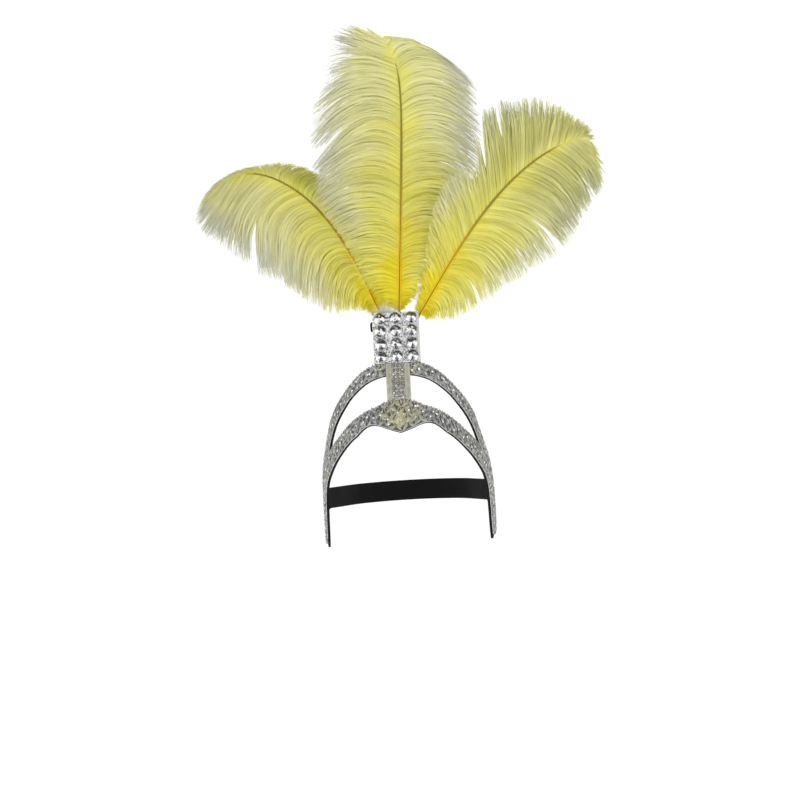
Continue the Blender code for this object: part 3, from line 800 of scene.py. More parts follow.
def noise(tree, place, scale, detail=3.0, roughness=0.6):
    inputs = {"Vector": place, "Scale": scale, "Detail": detail, "Roughness": roughness}
    return add_node(tree, "ShaderNodeTexNoise", **inputs).outputs["Fac"]


def varied(tree, value, pattern, amount):
    """A value that a noise makes larger and smaller."""
    return math_node(tree, "MULTIPLY_ADD", math_node(tree, "SUBTRACT", pattern, 0.5), amount, value)


def bump(tree, shader, height, distance, strength=1.0):
    inputs = {"Height": height, "Distance": distance, "Strength": strength}
    set_inputs(tree, shader, Normal=add_node(tree, "ShaderNodeBump", **inputs).outputs["Normal"])


def plain_material(name, colour, roughness):
    made, tree, shader = new_material(name)
    set_inputs(tree, shader, Base_Color=colour, Roughness=roughness)
    return made


def felt_material():
    """Black felt: a matted nap with lighter fibres."""
    made, tree, shader = new_material("black_felt")
    tint = sizes("head").felt_colour
    nap = noise(tree, object_place(tree), 900.0, 4.0)
    fibre = noise(tree, object_place(tree, (2200.0, 2200.0, 420.0)), 1.0, 2.0)
    colour = ramp(tree, nap, ((0.30, tint), (0.72, brighter(tint, 3.2))))
    set_inputs(tree, shader, Base_Color=colour, Roughness=0.95, Specular_IOR_Level=0.2)
    bump(tree, shader, math_node(tree, "ADD", nap, fibre), FINE_BUMP)
    return made


def thread_material(name, thread, cream=None):
    """Metallic embroidery thread, with a fine satin rib and patches darker and lighter than it."""
    made, tree, shader = new_material(name)
    place = object_place(tree)
    patch = noise(tree, place, 260.0)
    strand = noise(tree, place, 2600.0, 2.0)
    stops = (0.25, brighter(thread, 0.42)), (0.50, thread), (0.78, brighter(thread, 1.5))
    colour = ramp(tree, patch, stops)
    if cream:
        apart = add_node(tree, "ShaderNodeSeparateXYZ", Vector=place).outputs["X"]
        from_middle = math_node(tree, "MULTIPLY", math_node(tree, "ABSOLUTE", apart), 1 / CREAM_REACH)
        nearness = math_node(tree, "SUBTRACT", 1.0, math_node(tree, "MINIMUM", from_middle, 1.0))
        colour = mix_colours(tree, nearness, colour, cream)
    shade = ramp(tree, strand, ((0.30, 0.55), (0.65, 1.0)))
    colour = mix_colours(tree, 1.0, colour, shade, "MULTIPLY")
    set_inputs(tree, shader, Base_Color=colour, Metallic=0.45, Roughness=0.38)
    bump(tree, shader, strand, FINE_BUMP, 0.8)
    return made


def net_material():
    """Dark silver net behind the leaves."""
    made, tree, shader = new_material("lace_net")
    shade = sizes("lace").shade
    mesh = noise(tree, object_place(tree), 1400.0, 2.0)
    colour = ramp(tree, mesh, ((0.42, shade), (0.60, brighter(shade, 3.4))))
    set_inputs(tree, shader, Base_Color=colour, Metallic=0.35, Roughness=0.55)
    bump(tree, shader, mesh, FINE_BUMP)
    return made


def sparkle_material(name, dark, bright, low=0.30, high=0.55, roughness=0.08):
    """Silvered glass or foil whose facets are each painted dark, grey or bright, as painted reflections.
    """
    made, tree, shader = new_material(name)
    middle = tuple((a + b) / 2 for a, b in zip(dark, bright))
    colour = ramp(tree, attribute(tree, "tone"), ((low - 0.12, dark), (low, middle), (high, bright)))
    set_inputs(tree, shader, Base_Color=colour, Metallic=0.75, Roughness=roughness, Coat_Weight=0.6)
    return made


def ribbon_material(name, brightness):
    """Cream braid with fine crosswise ribs and a soft sheen."""
    made, tree, shader = new_material(name)
    cream = brighter(sizes("post").cream, brightness)
    patch = noise(tree, object_place(tree), 180.0)
    rib = noise(tree, object_place(tree, (700.0, 700.0, 2400.0)), 1.0, 2.0)
    colour = ramp(tree, patch, ((0.25, brighter(cream, 0.62)), (0.70, cream)))
    shade = ramp(tree, rib, ((0.35, 0.80), (0.62, 1.0)))
    colour = mix_colours(tree, 1.0, colour, shade, "MULTIPLY")
    set_inputs(tree, shader, Base_Color=colour, Roughness=0.50, Sheen_Weight=0.25)
    bump(tree, shader, rib, FINE_BUMP)
    return made


def elastic_material():
    """Black woven elastic with lengthwise cords and a fine cross weave."""
    made, tree, shader = new_material("black_elastic")
    tint = sizes("strap").colour
    along, across, _ = map_place(tree, "weave")
    cord = math_node(tree, "SINE", math_node(tree, "MULTIPLY", across, math.tau * STRAP_CORDS))
    pick = math_node(tree, "SINE", math_node(tree, "MULTIPLY", along, math.tau * STRAP_PICKS))
    weave = math_node(tree, "MULTIPLY_ADD", pick, 0.45, cord)
    fuzz = noise(tree, object_place(tree), 1500.0)
    tone = math_node(tree, "MULTIPLY_ADD", fuzz, 0.8, math_node(tree, "MULTIPLY", weave, 0.16))
    colour = ramp(tree, tone, ((0.20, tint), (0.75, brighter(tint, 1.8))))
    set_inputs(tree, shader, Base_Color=colour, Roughness=0.72, Specular_IOR_Level=0.15)
    bump(tree, shader, math_node(tree, "ADD", weave, fuzz), 0.0002, 0.8)
    return made


def plume_material():
    """Dyed ostrich: deep yellow at the foot, pale along the barbs and grey white at the tips, with
    painted olive shade between the barbs and on the outer parts.
    """
    made, tree, shader = new_material("yellow_plume")
    plume = sizes("plume")
    across, onward, vane = map_place(tree, VANE_MAP)
    outward = math_node(tree, "ABSOLUTE", math_node(tree, "MULTIPLY_ADD", across, 2.0, -1.0))
    broad = noise(tree, mapped(tree, vane, (3.0, 7.0, 1.0)), 1.0, 2.0)
    streak = noise(tree, mapped(tree, vane, (5.0, 240.0, 1.0)), 1.0, 3.0, 0.7)
    reach = math_node(tree, "MULTIPLY", outward, math_node(tree, "MULTIPLY_ADD", onward, 0.50, 0.27))
    faded = math_node(tree, "MULTIPLY_ADD", onward, 0.52, reach)
    faded = varied(tree, varied(tree, faded, broad, 0.55), streak, 0.25)
    colour = ramp(tree, faded, ((0.14, plume.deep), (0.38, plume.lemon), (0.66, plume.pale)))
    rim = ramp(tree, varied(tree, outward, broad, 0.5), ((0.62, 0.0), (0.96, 1.0)))
    rim = math_node(tree, "MULTIPLY", rim, ramp(tree, onward, ((0.35, 0.08), (0.72, 1.0))))
    # Thin olive lines in the outer half: painted shade in the gaps between the barbs.
    line = ramp(tree, streak, ((0.34, 1.0), (0.43, 0.0)))
    line = math_node(tree, "MULTIPLY", line, math_node(tree, "MULTIPLY_ADD", outward, 0.60, 0.06))
    painted_gap_shade = (0.30, 0.31, 0.10)
    # Mixes in the pale tips, the painted gap shade and the painted olive shade of the outer parts.
    for share, tint in (rim, plume.tip), (line, painted_gap_shade), (attribute(tree, "painted_shade"), plume.painted_shade):
        colour = mix_colours(tree, share, colour, tint)
    set_inputs(tree, shader, Base_Color=colour, Roughness=0.80, Specular_IOR_Level=0.25)
    return made


def quill_material():
    """Amber quill with painted brown shade in its groove, olive in its upper half and as pale as the
    vane at its tip.
    """
    made, tree, shader = new_material("amber_quill")
    plume = sizes("plume")
    around, onward, _ = map_place(tree, QUILL_MAP)
    grain = noise(tree, object_place(tree, (900.0, 900.0, 60.0)), 1.0, 2.0)
    # The groove is painted brown shade.
    groove = ramp(tree, around, ((0.42, 0.0), (0.47, 1.0), (0.53, 1.0), (0.58, 0.0)))
    upper = ramp(tree, onward, ((0.35, 0.0), (0.60, 1.0)))
    end = ramp(tree, onward, ((0.86, 0.0), (0.97, 1.0)))
    yellow, painted_groove_shade, olive = (0.92, 0.68, 0.02), (0.22, 0.11, 0.002), (0.30, 0.24, 0.03)
    colour = mix_colours(tree, math_node(tree, "MULTIPLY", grain, 0.5), yellow, plume.quill_colour)
    for share, tint in (groove, painted_groove_shade), (upper, olive), (end, plume.lemon):
        colour = mix_colours(tree, share, colour, tint)
    set_inputs(tree, shader, Base_Color=colour, Roughness=0.65, Specular_IOR_Level=0.2)
    return made


# Lace


def leaf_shape():
    """A pointed leaf that rises to a ridge, one long and one wide, lying along X."""
    bm = grid(4, 8)
    for vert in bm.verts:
        along, across = vert.co.y, vert.co.x - 0.5
        fullness = math.sin(math.pi * min(along * 1.02, 1.0) ** 0.72)
        ridge = max(0.0, 1.0 - (2 * across) ** 2) * (0.35 + 0.65 * fullness)
        height = ridge * math.sin(math.pi * along) ** 0.5
        vert.co = (along - 0.5, -across * max(fullness, 0.04), height)
    return bm


def disc_shape(sides, height, dish):
    """A flat disc with a dished middle, one wide."""
    bm = bmesh.new()
    bmesh.ops.create_circle(bm, cap_ends=True, segments=sides, radius=0.5)
    bmesh.ops.inset_region(bm, faces=bm.faces, thickness=0.22, depth=-dish)
    bmesh.ops.translate(bm, verts=bm.verts, vec=(0.0, 0.0, height))
    return bm


def cut_shape(sides, girdle, table, height):
    """A round cut stone, one wide: an upright girdle, two rings of facets and a table."""
    bm = bmesh.new()
    rings = (
        (0.5, 0.0, 0.0, 2 * sides),
        (0.5, girdle, 0.0, 2 * sides),
        (0.5 * (0.42 + 0.58 * table), girdle + 0.62 * (height - girdle), 0.5, sides),
        (0.5 * table, height, 0.0, sides),
    )
    for radius, up, shift, count in rings:
        spin = Matrix.Translation((0, 0, up)) @ Matrix.Rotation(math.tau * shift / count, 4, "Z")
        bmesh.ops.create_circle(bm, segments=count, radius=radius, matrix=spin)
    bmesh.ops.convex_hull(bm, input=bm.verts)
    bmesh.ops.dissolve_limit(bm, angle_limit=math.radians(1), verts=bm.verts, edges=bm.edges)
    return bm


def make_motif(trim, thread):
    """A teardrop in the middle of the band with cream leaves that spread from it on both sides."""
    rows = list(MOTIF)
    rows += [leaf._replace(along=-leaf.along, turn=180 - leaf.turn) for leaf in MOTIF if leaf.along]
    mesh, shape = copies_of(leaf_shape(), len(rows), "motif")
    out = sizes("head").gap + LACE_OUT["motif"]
    laid = []
    for leaf in rows:
        sized = shape * (leaf.length, leaf.width, MOTIF_HEIGHT)
        along = trim.length / 2 + leaf.along
        laid.append(trim.laid(sized, along, leaf.across, np.radians([leaf.turn]), out)[0])
    move_points(mesh, np.concatenate(laid))
    add_piece("band_motif", mesh, thread)


def scroll_line(trim, swing, phase, out):
    """A cord's line that swings from side to side along the trim."""
    repeat = sizes("lace").repeat
    along = np.arange(0.0, trim.length, repeat / 14)
    turn = math.tau * along / repeat
    raised = out + 0.0003 * np.cos(2 * turn + phase)
    return trim.line(along, 0.5 + swing * np.sin(turn + phase), raised)


def edge_line(trim, inset, scallop, out):
    """A cord's line along the lower edge, or along the upper one where the inset is negative."""
    lace = sizes("lace")
    along = np.arange(0.0, trim.length, lace.repeat / 12)
    wave = scallop * np.abs(np.sin(math.pi * along / (lace.repeat / 2)))
    inside = (abs(inset) - wave) / np.maximum(trim.width(along), 2.5 * lace.margin)
    return trim.line(along, inside if inset > 0 else 1.0 - inside, out)


def leaf_places(trim, rng):
    """Places, turns and sizes of the leaves: leaning rows, and a row of picots on the outer edge."""
    lace = sizes("lace")
    found = []
    for step, along in enumerate(np.arange(lace.leaf_step / 2, trim.length, lace.leaf_step)):
        width = trim.width(along)
        rows = max(2, round(width / lace.leaf_row))
        way = math.pi if along > trim.length / 2 else 0.0
        for row in range(rows):
            shift = (row % 2) * lace.leaf_step / 2
            lean = 0.75 if (row + step) % 2 else -0.75
            fit = min(1.15, max(0.55, width / rows / lace.leaf_row))
            across = 0.05 + 0.90 * (row + 0.5) / rows
            found.append((along + shift, across, way + lean, fit))
    places = np.array(found)
    places += rng.normal(0, 1, places.shape) * (0.0004, 0.012, 0.12, 0.07)
    picots = np.arange(lace.picot_step / 2, trim.length, lace.picot_step)
    edge = np.full_like(picots, 0.965) + rng.normal(0, 0.012, len(picots))
    size = np.full_like(picots, 0.55) + rng.normal(0, 0.06, len(picots))
    picots = np.stack([picots, edge, math.pi / 2 + rng.normal(0, 0.3, len(picots)), size], axis=-1)
    return np.concatenate([places, picots]).T


def make_lace(name, node, start, end, low, top, rng, finishes):
    """One length of lace: net, leaves, scrolling and edge cords, sequins and small stones."""
    lace = sizes("lace")
    trim = Trim(start, end, low, top)
    out = {layer: sizes("head").gap + height for layer, height in LACE_OUT.items()}
    thread, net, foil, glass, piping = finishes

    base = mesh_of(grid(8, round(trim.length / 0.002)))
    places = coordinates(base)
    along = places[:, 1] * trim.length
    width = np.maximum(trim.width(along), 2.5 * lace.margin)
    low_edge, top_edge = lace.margin / width, 1.0 - 0.35 * lace.margin / width
    across = low_edge + (top_edge - low_edge) * places[:, 0]
    pillow = 0.0004 * np.sin(math.pi * places[:, 0])
    move_points(base, trim.points(along, across, out["net"] + pillow))
    add_piece(name + "_net", base, net)

    steps, across, turns, scale = leaf_places(trim, rng)
    mesh, shape = copies_of(leaf_shape(), len(steps), "leaves")
    shape = shape * (lace.leaf_length, lace.leaf_width, lace.leaf_height)
    move_points(mesh, trim.laid(shape, steps, across, turns, out["leaf"], scale))

    cords = [mesh]
    for phase in (0.0, math.pi):
        cords.append(bend_tube(*scroll_line(trim, 0.30, phase, out["scroll"]), lace.cord / 2))
    radius = lace.edge_cord / 2
    line = edge_line(trim, 0.9 * lace.margin + radius, 0.0, out["edge"])
    add_piece(name + "_piping", bend_tube(*line, radius), piping)
    line = edge_line(trim, -0.45 * lace.margin - radius, 0.0012, out["edge"])
    cords.append(bend_tube(*line, radius))
    add_piece(name, joined(cords, name), thread, (node,))

    repeats = int(trim.length / lace.repeat)
    count = repeats * 3
    steps = rng.uniform(0.0, trim.length, count)
    across = rng.uniform(0.16, 0.86, count)
    mesh, shape = copies_of(disc_shape(6, 0.0, 0.12), count, "sequins")
    shape = shape * lace.sequin
    tilt = rng.normal(0, 0.25, (count, 2))
    laid = trim.laid(shape, steps, across, rng.uniform(0, math.tau, count), out["sequin"])
    laid[..., 1] -= np.abs(np.einsum("nk,mk->nm", tilt, shape[:, :2]))
    move_points(mesh, laid)
    add_painted_glints(mesh, rng)
    add_piece(name + "_sequins", mesh, foil, smooth=False)

    count = round(1.5 * repeats)
    steps = (np.arange(count) + 0.25) * trim.length / count
    across = 0.5 + np.where(np.arange(count) % 2, 0.22, -0.20) * rng.uniform(0.2, 1.0, count)
    mesh, shape = copies_of(cut_shape(6, 0.12, 0.5, 0.36), count, "stones")
    turns = rng.uniform(0, 1, count)
    move_points(mesh, trim.laid(shape * lace.stone, steps, across, turns, out["stone"]))
    add_painted_glints(mesh, rng)
    add_piece(name + "_stones", mesh, glass, smooth=False)


# Stones and ribbon


def stand(shape, turn, height, out):
    """Copies of a shape's points, each standing on the felt at its own turn and height."""
    turn, height = np.asarray(turn, float), np.asarray(height, float)
    foot, up = sheet(turn, height, sizes("head").felt + out)
    side = unit(np.cross(np.broadcast_to((0.0, 0.0, 1.0), up.shape), up))
    rise = np.cross(up, side)
    axes = np.stack([side, rise, up], axis=-2)
    return foot[:, None, :] + np.einsum("mk,nkc->nmc", shape, axes)


def chart(width, bottom, top, columns, rows):
    """A grid to lay on the felt: its mesh, its shares, and its points' widths and heights."""
    mesh = mesh_of(grid(columns, rows))
    shares = coordinates(mesh)
    return mesh, shares, (shares[:, 0] - 0.5) * width, bottom + (top - bottom) * shares[:, 1]


def cells(columns, rows):
    """Column and row of each cell, counted from the bottom left."""
    count = np.arange(columns * rows)
    return count % columns, count // columns


def make_post(rng, ribbon, cream, silver, glass):
    """The post's braid with its cords, and the strip of stones in their cups."""
    head, post = sizes("head"), sizes("post")
    bottom, top = height_of(FRONT_RIBS[0].band_top) + head.gap, head.arch_rise - head.gap
    back = head.felt + head.gap
    mesh, _, x, height = chart(post.width, bottom, top, 52, 60)
    folds = BRAID_DEPTH * np.sin(math.tau * x / BRAID_RIB) * (np.abs(x) > post.strip_width / 2)
    hem = 0.0004 * smooth_step((np.abs(x) - 0.0115) / 0.0008)
    move_points(mesh, sheet(turns_of(x), height, back + 0.0007 + folds + hem)[0])
    add_piece("post_braid", mesh, ribbon, ("post_ribbon",))

    cords = []
    along = np.linspace(0.0, 1.0, 200)
    up = bottom + (top - bottom) * along
    for side in (-1, 1):
        for phase in (0.0, math.pi):
            turn = math.tau * along * POST_TWISTS
            swing = side * (post.strip_width + post.width) / 4 + POST_SWING * np.sin(turn + phase)
            out = back + 0.0013 + 0.0002 * np.cos(2 * turn + phase)
            cords.append(bend_tube(*sheet(turns_of(swing), up, out), POST_CORD))
        for edge in (post.width / 2 - HEM_INSET, post.strip_width / 2 + HEM_INSET):
            cords.append(bend_tube(*sheet(turns_of(side * edge), up, back + 0.0012), HEM_CORD))
    add_piece("post_cords", joined(cords, "post_cords"), cream)

    column, row = cells(post.columns, post.rows)
    x = (column - (post.columns - 1) / 2) * post.strip_width / post.columns
    height = bottom + (row + 0.5) * (top - bottom) / post.rows
    seat = head.gap + post.ribbon + head.gap
    cups, shape = copies_of(disc_shape(12, 0.5, -0.05), len(row), "cups")
    shape = shape * (post.stone * 1.12, post.stone * 1.12, 2 * post.strip)
    move_points(cups, stand(shape, turns_of(x), height, seat))
    strip, shares, strip_x, strip_z = chart(post.strip_width, bottom, top, 12, 40)
    wave = 0.0002 * np.sin(math.tau * shares[:, 1] * post.rows * 3)
    move_points(strip, sheet(turns_of(strip_x), strip_z, head.felt + seat + 0.0006 + wave)[0])
    cups = joined([cups, strip], "post_cups")
    add_painted_glints(cups, rng)
    add_piece("post_cups", cups, silver, smooth=False)
    mesh, shape = copies_of(cut_shape(8, 0.10, 0.5, 0.44), len(row), "stones")
    add_painted_facet_reflections(mesh, rng)
    move_points(mesh, stand(shape * post.stone, turns_of(x), height, seat + post.strip))
    add_piece("post_stones", mesh, glass, ("post_rhinestones",), smooth=False)


def make_panel(rng, clear, silver, glass, film, felt):
    """The panel's net, the film at its edge, the wire beside it, the settings and the stones."""
    head, panel = sizes("head"), sizes("panel")
    bottom, top = head.arch_rise + head.gap, head.arch_rise + panel.height
    back = head.felt + head.gap
    column, row = cells(panel.columns, panel.rows)
    stone_x = (column - (panel.columns - 1) / 2) * panel.width / panel.columns
    stone_z = bottom + (row + 0.5) * panel.height / panel.rows

    mesh, _, x, height = chart(panel.width, bottom, top, 100, 114)
    apart = np.hypot(x[:, None] - stone_x, height[:, None] - stone_z).min(axis=1)
    seat = panel.seat * smooth_step((panel.seat_width / 2 + 0.0004 - apart) / 0.0008)
    first, second = (math.pi * way / NET_CELL for way in (x + height, x - height))
    net = np.abs(np.sin(first) * np.sin(second))
    relief = NET_RELIEF * (1.0 - net) * (apart > panel.seat_width / 2)
    bumps = 0.0010 * smooth_step((apart - 0.0084) / 0.0026)
    out = back + 0.0006 + seat + relief + bumps
    move_points(mesh, sheet(turns_of(x), height, out)[0])
    add_painted_glitter_glints(mesh, rng, GLITTER)
    add_piece("panel_net", mesh, clear, ("panel_mesh",), smooth=False)

    strip, shares, _, edge_z = chart(FILM_WIDTH, bottom, top, 4, 40)
    fold = 0.0006 * np.sin(math.pi * shares[:, 0]) + 0.0004 * np.sin(math.tau * 2.5 * shares[:, 1])
    edge_x = panel.width / 2 - FILM_LAP + FILM_WIDTH * shares[:, 0]
    move_points(strip, sheet(turns_of(edge_x), edge_z, back + 0.0016 + fold)[0])
    add_piece("panel_film", strip, film)
    wire_x, wire_z = table_at(WIRE_END, np.linspace(0, len(WIRE_END) - 1, 16)).T
    line = sheet(turns_of(wire_x), head.arch_rise + wire_z, head.felt / 2)
    add_piece("wire_end", bend_tube(*line, WIRE_RADIUS), felt)

    seat_top = head.gap + panel.mesh + panel.seat
    angle = np.arange(SETTING_BEADS) * math.tau / SETTING_BEADS
    radius = panel.stone / 2 + 0.0003
    ring_x = (stone_x[:, None] + radius * np.cos(angle)).ravel()
    ring_z = (stone_z[:, None] + radius * np.sin(angle)).ravel()
    bm = bmesh.new()
    bmesh.ops.create_icosphere(bm, subdivisions=1, radius=BEAD_RADIUS)
    mesh, shape = copies_of(bm, len(ring_x), "settings")
    move_points(mesh, stand(shape, turns_of(ring_x), ring_z, seat_top + 0.0003))
    add_painted_glints(mesh, rng)
    add_piece("panel_settings", mesh, silver, smooth=False)

    size = panel.stone
    for index, (x, z) in enumerate(zip(stone_x, stone_z)):
        name = f"{row[index] + 1}{column[index] + 1}"
        bm = cut_shape(10, panel.girdle / size, panel.table, panel.stone_height / size)
        spin = Matrix.Rotation(rng.uniform(0, math.tau), 4, "Z")
        bmesh.ops.transform(bm, matrix=spin, verts=bm.verts)
        table = max(bm.faces, key=lambda face: face.calc_center_median().z)
        bmesh.ops.poke(bm, faces=[table])
        mesh = mesh_of(bm)
        add_painted_facet_reflections(mesh, rng)
        shape = coordinates(mesh) * size
        move_points(mesh, stand(shape, turns_of([x]), [z], seat_top + head.gap)[0])
        add_piece("stone_" + name, mesh, glass, ("panel_stone_" + name,), smooth=False)


# Strap


def strap_line():
    """The middle of the strap, seen from above, from one flap round the back to the other."""
    head, strap = sizes("head"), sizes("strap")
    inside = -(2 * head.gap + strap.thickness / 2)
    turns = np.array(STRAP_SEWN_TURNS) * math.pi / 2
    sewn = sheet(turns, strap.level, inside)[0][:, :2]
    free = np.array(STRAP_FREE) * (head.half_width, strap.depth)
    half = np.concatenate([sewn, free])
    return np.concatenate([half, half[-2::-1] * (-1, 1)])


def make_strap(elastic):
    """The strap as one stretched sheet, a little cupped across."""
    strap = sizes("strap")
    line = strap_line()
    steps = 200
    middle = table_at(line, np.linspace(0, len(line) - 1, steps + 1))
    onward = unit(np.gradient(middle, axis=0))
    outward = np.stack([onward[:, 1], -onward[:, 0]], axis=1)
    mesh = mesh_of(grid(12, steps))
    places = coordinates(mesh)
    index = np.rint(places[:, 1] * steps).astype(int)
    across = places[:, 0] - 0.5
    flat = middle[index] - outward[index] * (0.0004 * (2 * across) ** 2)[:, None]
    points = np.column_stack([flat, strap.level + across * strap.height * 0.995])
    move_points(mesh, points)
    add_map(mesh, "weave", places[:, [1, 0]])
    obj = add_piece("elastic_band", mesh, elastic, ("elastic_strap",))
    wall = obj.modifiers.new("thickness", "SOLIDIFY")
    wall.thickness = strap.thickness * 0.7
    wall.offset = 0.0


# Plumes


class Stem:
    """The middle line of a plume, with its directions onwards, to the right and forwards."""

    def __init__(self, plume, count=480):
        head, size = sizes("head"), sizes("plume")
        length = plume.length * size.length
        foot_height = head.arch_rise + size.quill_foot
        face, _ = sheet(0.0, foot_height, 0.0)
        behind = head.gap + size.quill / 2 + plume.layer * (size.quill + size.quill_gap)
        share = np.arange(count + 1) / count
        hook = plume.hook * smooth_step((share - 0.78) / 0.22)
        heading = np.radians(plume.lean + plume.bend * share**plume.bend_power + hook)
        clear = smooth_step((share * length - size.quill_bare) / size.quill_bare)
        back = np.radians(plume.foot_back + (plume.vane_back - plume.foot_back) * clear)
        curl = np.radians(plume.curl * share**4)
        up = np.cos(heading) * np.cos(curl)
        rightward, backward = np.sin(heading) * np.cos(curl), up * np.tan(back) - np.sin(curl)
        onward = unit(np.stack([rightward, backward, up], -1))
        side = np.stack([np.cos(heading), 0 * heading, -np.sin(heading)], -1)
        side = unit(side - onward * (side * onward).sum(-1, keepdims=True))
        foot = np.array([plume.foot * size.quill, behind + face[1], foot_height])
        steps = onward[:-1] * length / count
        self.share = share
        self.place = foot + np.concatenate([np.zeros((1, 3)), np.cumsum(steps, axis=0)])
        self.onward, self.side = onward, side
        self.forward = np.cross(side, onward)

    def at(self, shares):
        """Places and directions at these shares of the stem, each with a last axis of three."""
        found = []
        for rows in (self.place, self.onward, self.side, self.forward):
            found.append(np.stack([np.interp(shares, self.share, c) for c in rows.T], -1))
        return found


def barb_tips(plume, shares, side):
    """How far out and onwards the barbs' tips lie, as shares of the reach."""
    rows = np.array(plume.vane)
    places = np.interp(shares, rows[:, 0], np.arange(len(rows)))
    found = table_at(rows, places)
    return (found[:, 1], found[:, 2]) if side < 0 else (found[:, 3], found[:, 4])


def barb_lines(plume, stem, side, shares, lengths, along, depth):
    """Points along each barb. depth is its place in the vane's thickness, from -1 to 1."""
    size = sizes("plume")
    out_share, on_share = barb_tips(plume, shares, side)
    out = (side * out_share * lengths * size.reach)[:, None]
    on = (on_share * lengths * size.reach)[:, None]
    lift = size.lift * np.hypot(out, on)
    first, second = 2 * along * (1 - along), along**2
    sideways = first * size.arch * out + second * out
    ahead = first * lift + second * on
    growth = smooth_step((shares - plume.vane[0].share) / 0.28)
    growth *= smooth_step((1.04 - shares) / 0.12)
    profile = np.interp(along, BARB_PLACES, BARB_PROFILE)
    layer = size.thickness * np.maximum(growth, 0.16)[:, None] * profile * depth[:, None]
    bow = size.bow * second * np.abs(out) / size.reach + layer
    place, onward, sideward, forward = (part[:, None, :] for part in stem.at(shares))
    parts = sideward * sideways[..., None] + onward * ahead[..., None] + forward * bow[..., None]
    return place + parts


def locks_of(plume, rng, shares, count):
    """The middle of the lock that each barb belongs to, on uneven locks."""
    start = plume.vane[0].share
    edges = np.sort(rng.uniform(0, 1, count * 3))[::3]
    middles = start + (1 - start) * (edges + rng.uniform(0.0, 0.02, len(edges)))
    nearest = np.abs(shares[:, None] - middles).argmin(axis=1)
    return middles[nearest]


def part_slits(plume, stem, side, shares, along, lines):
    """Moves the barbs' outer ends away from each slit in the vane."""
    size = sizes("plume")
    onward = stem.at(shares)[1]
    for slit in SLITS[plume.name]:
        if slit.side != side:
            continue
        away = (shares - slit.share) / slit.width
        push = np.sign(away) * np.exp(-np.abs(away)) * slit.gap * size.reach
        open_by = smooth_step((along - slit.depth) / (1 - slit.depth))
        lines = lines + onward[:, None, :] * (push[:, None] * open_by)[..., None]
    return lines


def barb_set(plume, stem, side, rng, kind):
    """Lines of many barbs on one side of the vane, gathered into locks towards their tips."""
    count = kind.count
    start = plume.vane[0].share
    shares = start + (1 - start) * (np.arange(count) + rng.uniform(0, 1, count)) / count
    lengths = rng.uniform(1 - kind.spread, 1.03, count)
    depth = rng.uniform(-kind.layer, kind.layer, count)
    along = np.linspace(0, 1, kind.points)
    lines = barb_lines(plume, stem, side, shares, lengths, along, depth)
    middles = locks_of(plume, rng, shares, LOCKS)
    gathered = barb_lines(plume, stem, side, middles, lengths, along, depth)
    weight = kind.clump * rng.uniform(0.5, 1.0, count)[:, None] * smooth_step((along - 0.35) / 0.65)
    lines = lines + (gathered - lines) * weight[..., None]
    lines = part_slits(plume, stem, side, shares, along, lines)
    _, onward, _, forward = (part[:, None, :] for part in stem.at(shares))
    phase = rng.uniform(0, math.tau, (count, 1))
    waves = rng.uniform(1.0, 2.6, (count, 1))
    wave = BARB_WAVE * np.sin(phase + waves * math.tau * along) * along
    stray = rng.normal(0, 1, (count, 1)) * BARB_STRAY * along**2
    lines = lines + onward * (wave + stray)[..., None]
    fluff = rng.normal(0, 1, (count, 1)) * BARB_FLUFF * along**2
    lines = lines + forward * fluff[..., None]
    return shares, along, lines


def ribbon_points(lines, forward, widths, twists):
    """Both edges of a flat ribbon along each line, and its directions."""
    onward = unit(np.gradient(lines, axis=1))
    across = unit(np.cross(onward, forward))
    rise = np.cross(across, onward)
    across = across * np.cos(twists)[:, None, None] + rise * np.sin(twists)[:, None, None]
    half = across * widths[..., None] / 2
    return np.stack([lines - half, lines + half], axis=2), onward, across


def vane_map(side, shares, along, reaches, half_step):
    """Places of ribbon points on the vane's map: across is the barb, up is the stem.

    Short barbs reach only a part of the way across, so their tips keep an inner colour.
    """
    across = 0.5 + side * 0.5 * np.clip(along * reaches[:, None], 0.004, 0.996)
    up = np.stack([shares - half_step, shares + half_step], axis=1)[:, None, :]
    up = np.broadcast_to(up, (len(shares), len(along), 2))
    return np.stack([np.stack([across, across], axis=2), np.clip(up, 0, 1)], axis=-1)


def make_ribbons(plume, stem, side, rng, kind):
    """Flat barbs on one side of a vane, with their places on the map."""
    count, width, twist = kind.count, kind.width, kind.twist
    shares, along, lines = barb_set(plume, stem, side, rng, kind)
    forward = stem.at(shares)[3][:, None, :]
    taper = 1.0 - 0.80 * smooth_step((along - 0.50) / 0.50)
    widths = width * rng.uniform(0.65, 1.3, count)[:, None] * taper
    twists = rng.uniform(-twist, twist, count)
    ribbons, onward, across = ribbon_points(lines, forward, widths, twists)
    mesh, _ = copies_of(grid(1, kind.points - 1), count, "barbs")
    move_points(mesh, ribbons.reshape(-1, 3))
    half_step = 0.5 * width / (plume.length * sizes("plume").length)
    reaches = np.minimum(1.0, 0.12 + 1.25 * np.hypot(*barb_tips(plume, shares, side)))
    places = vane_map(side, shares, along, reaches, half_step).reshape(-1, 2)
    return mesh, places, (shares, along, lines, onward, across, reaches)


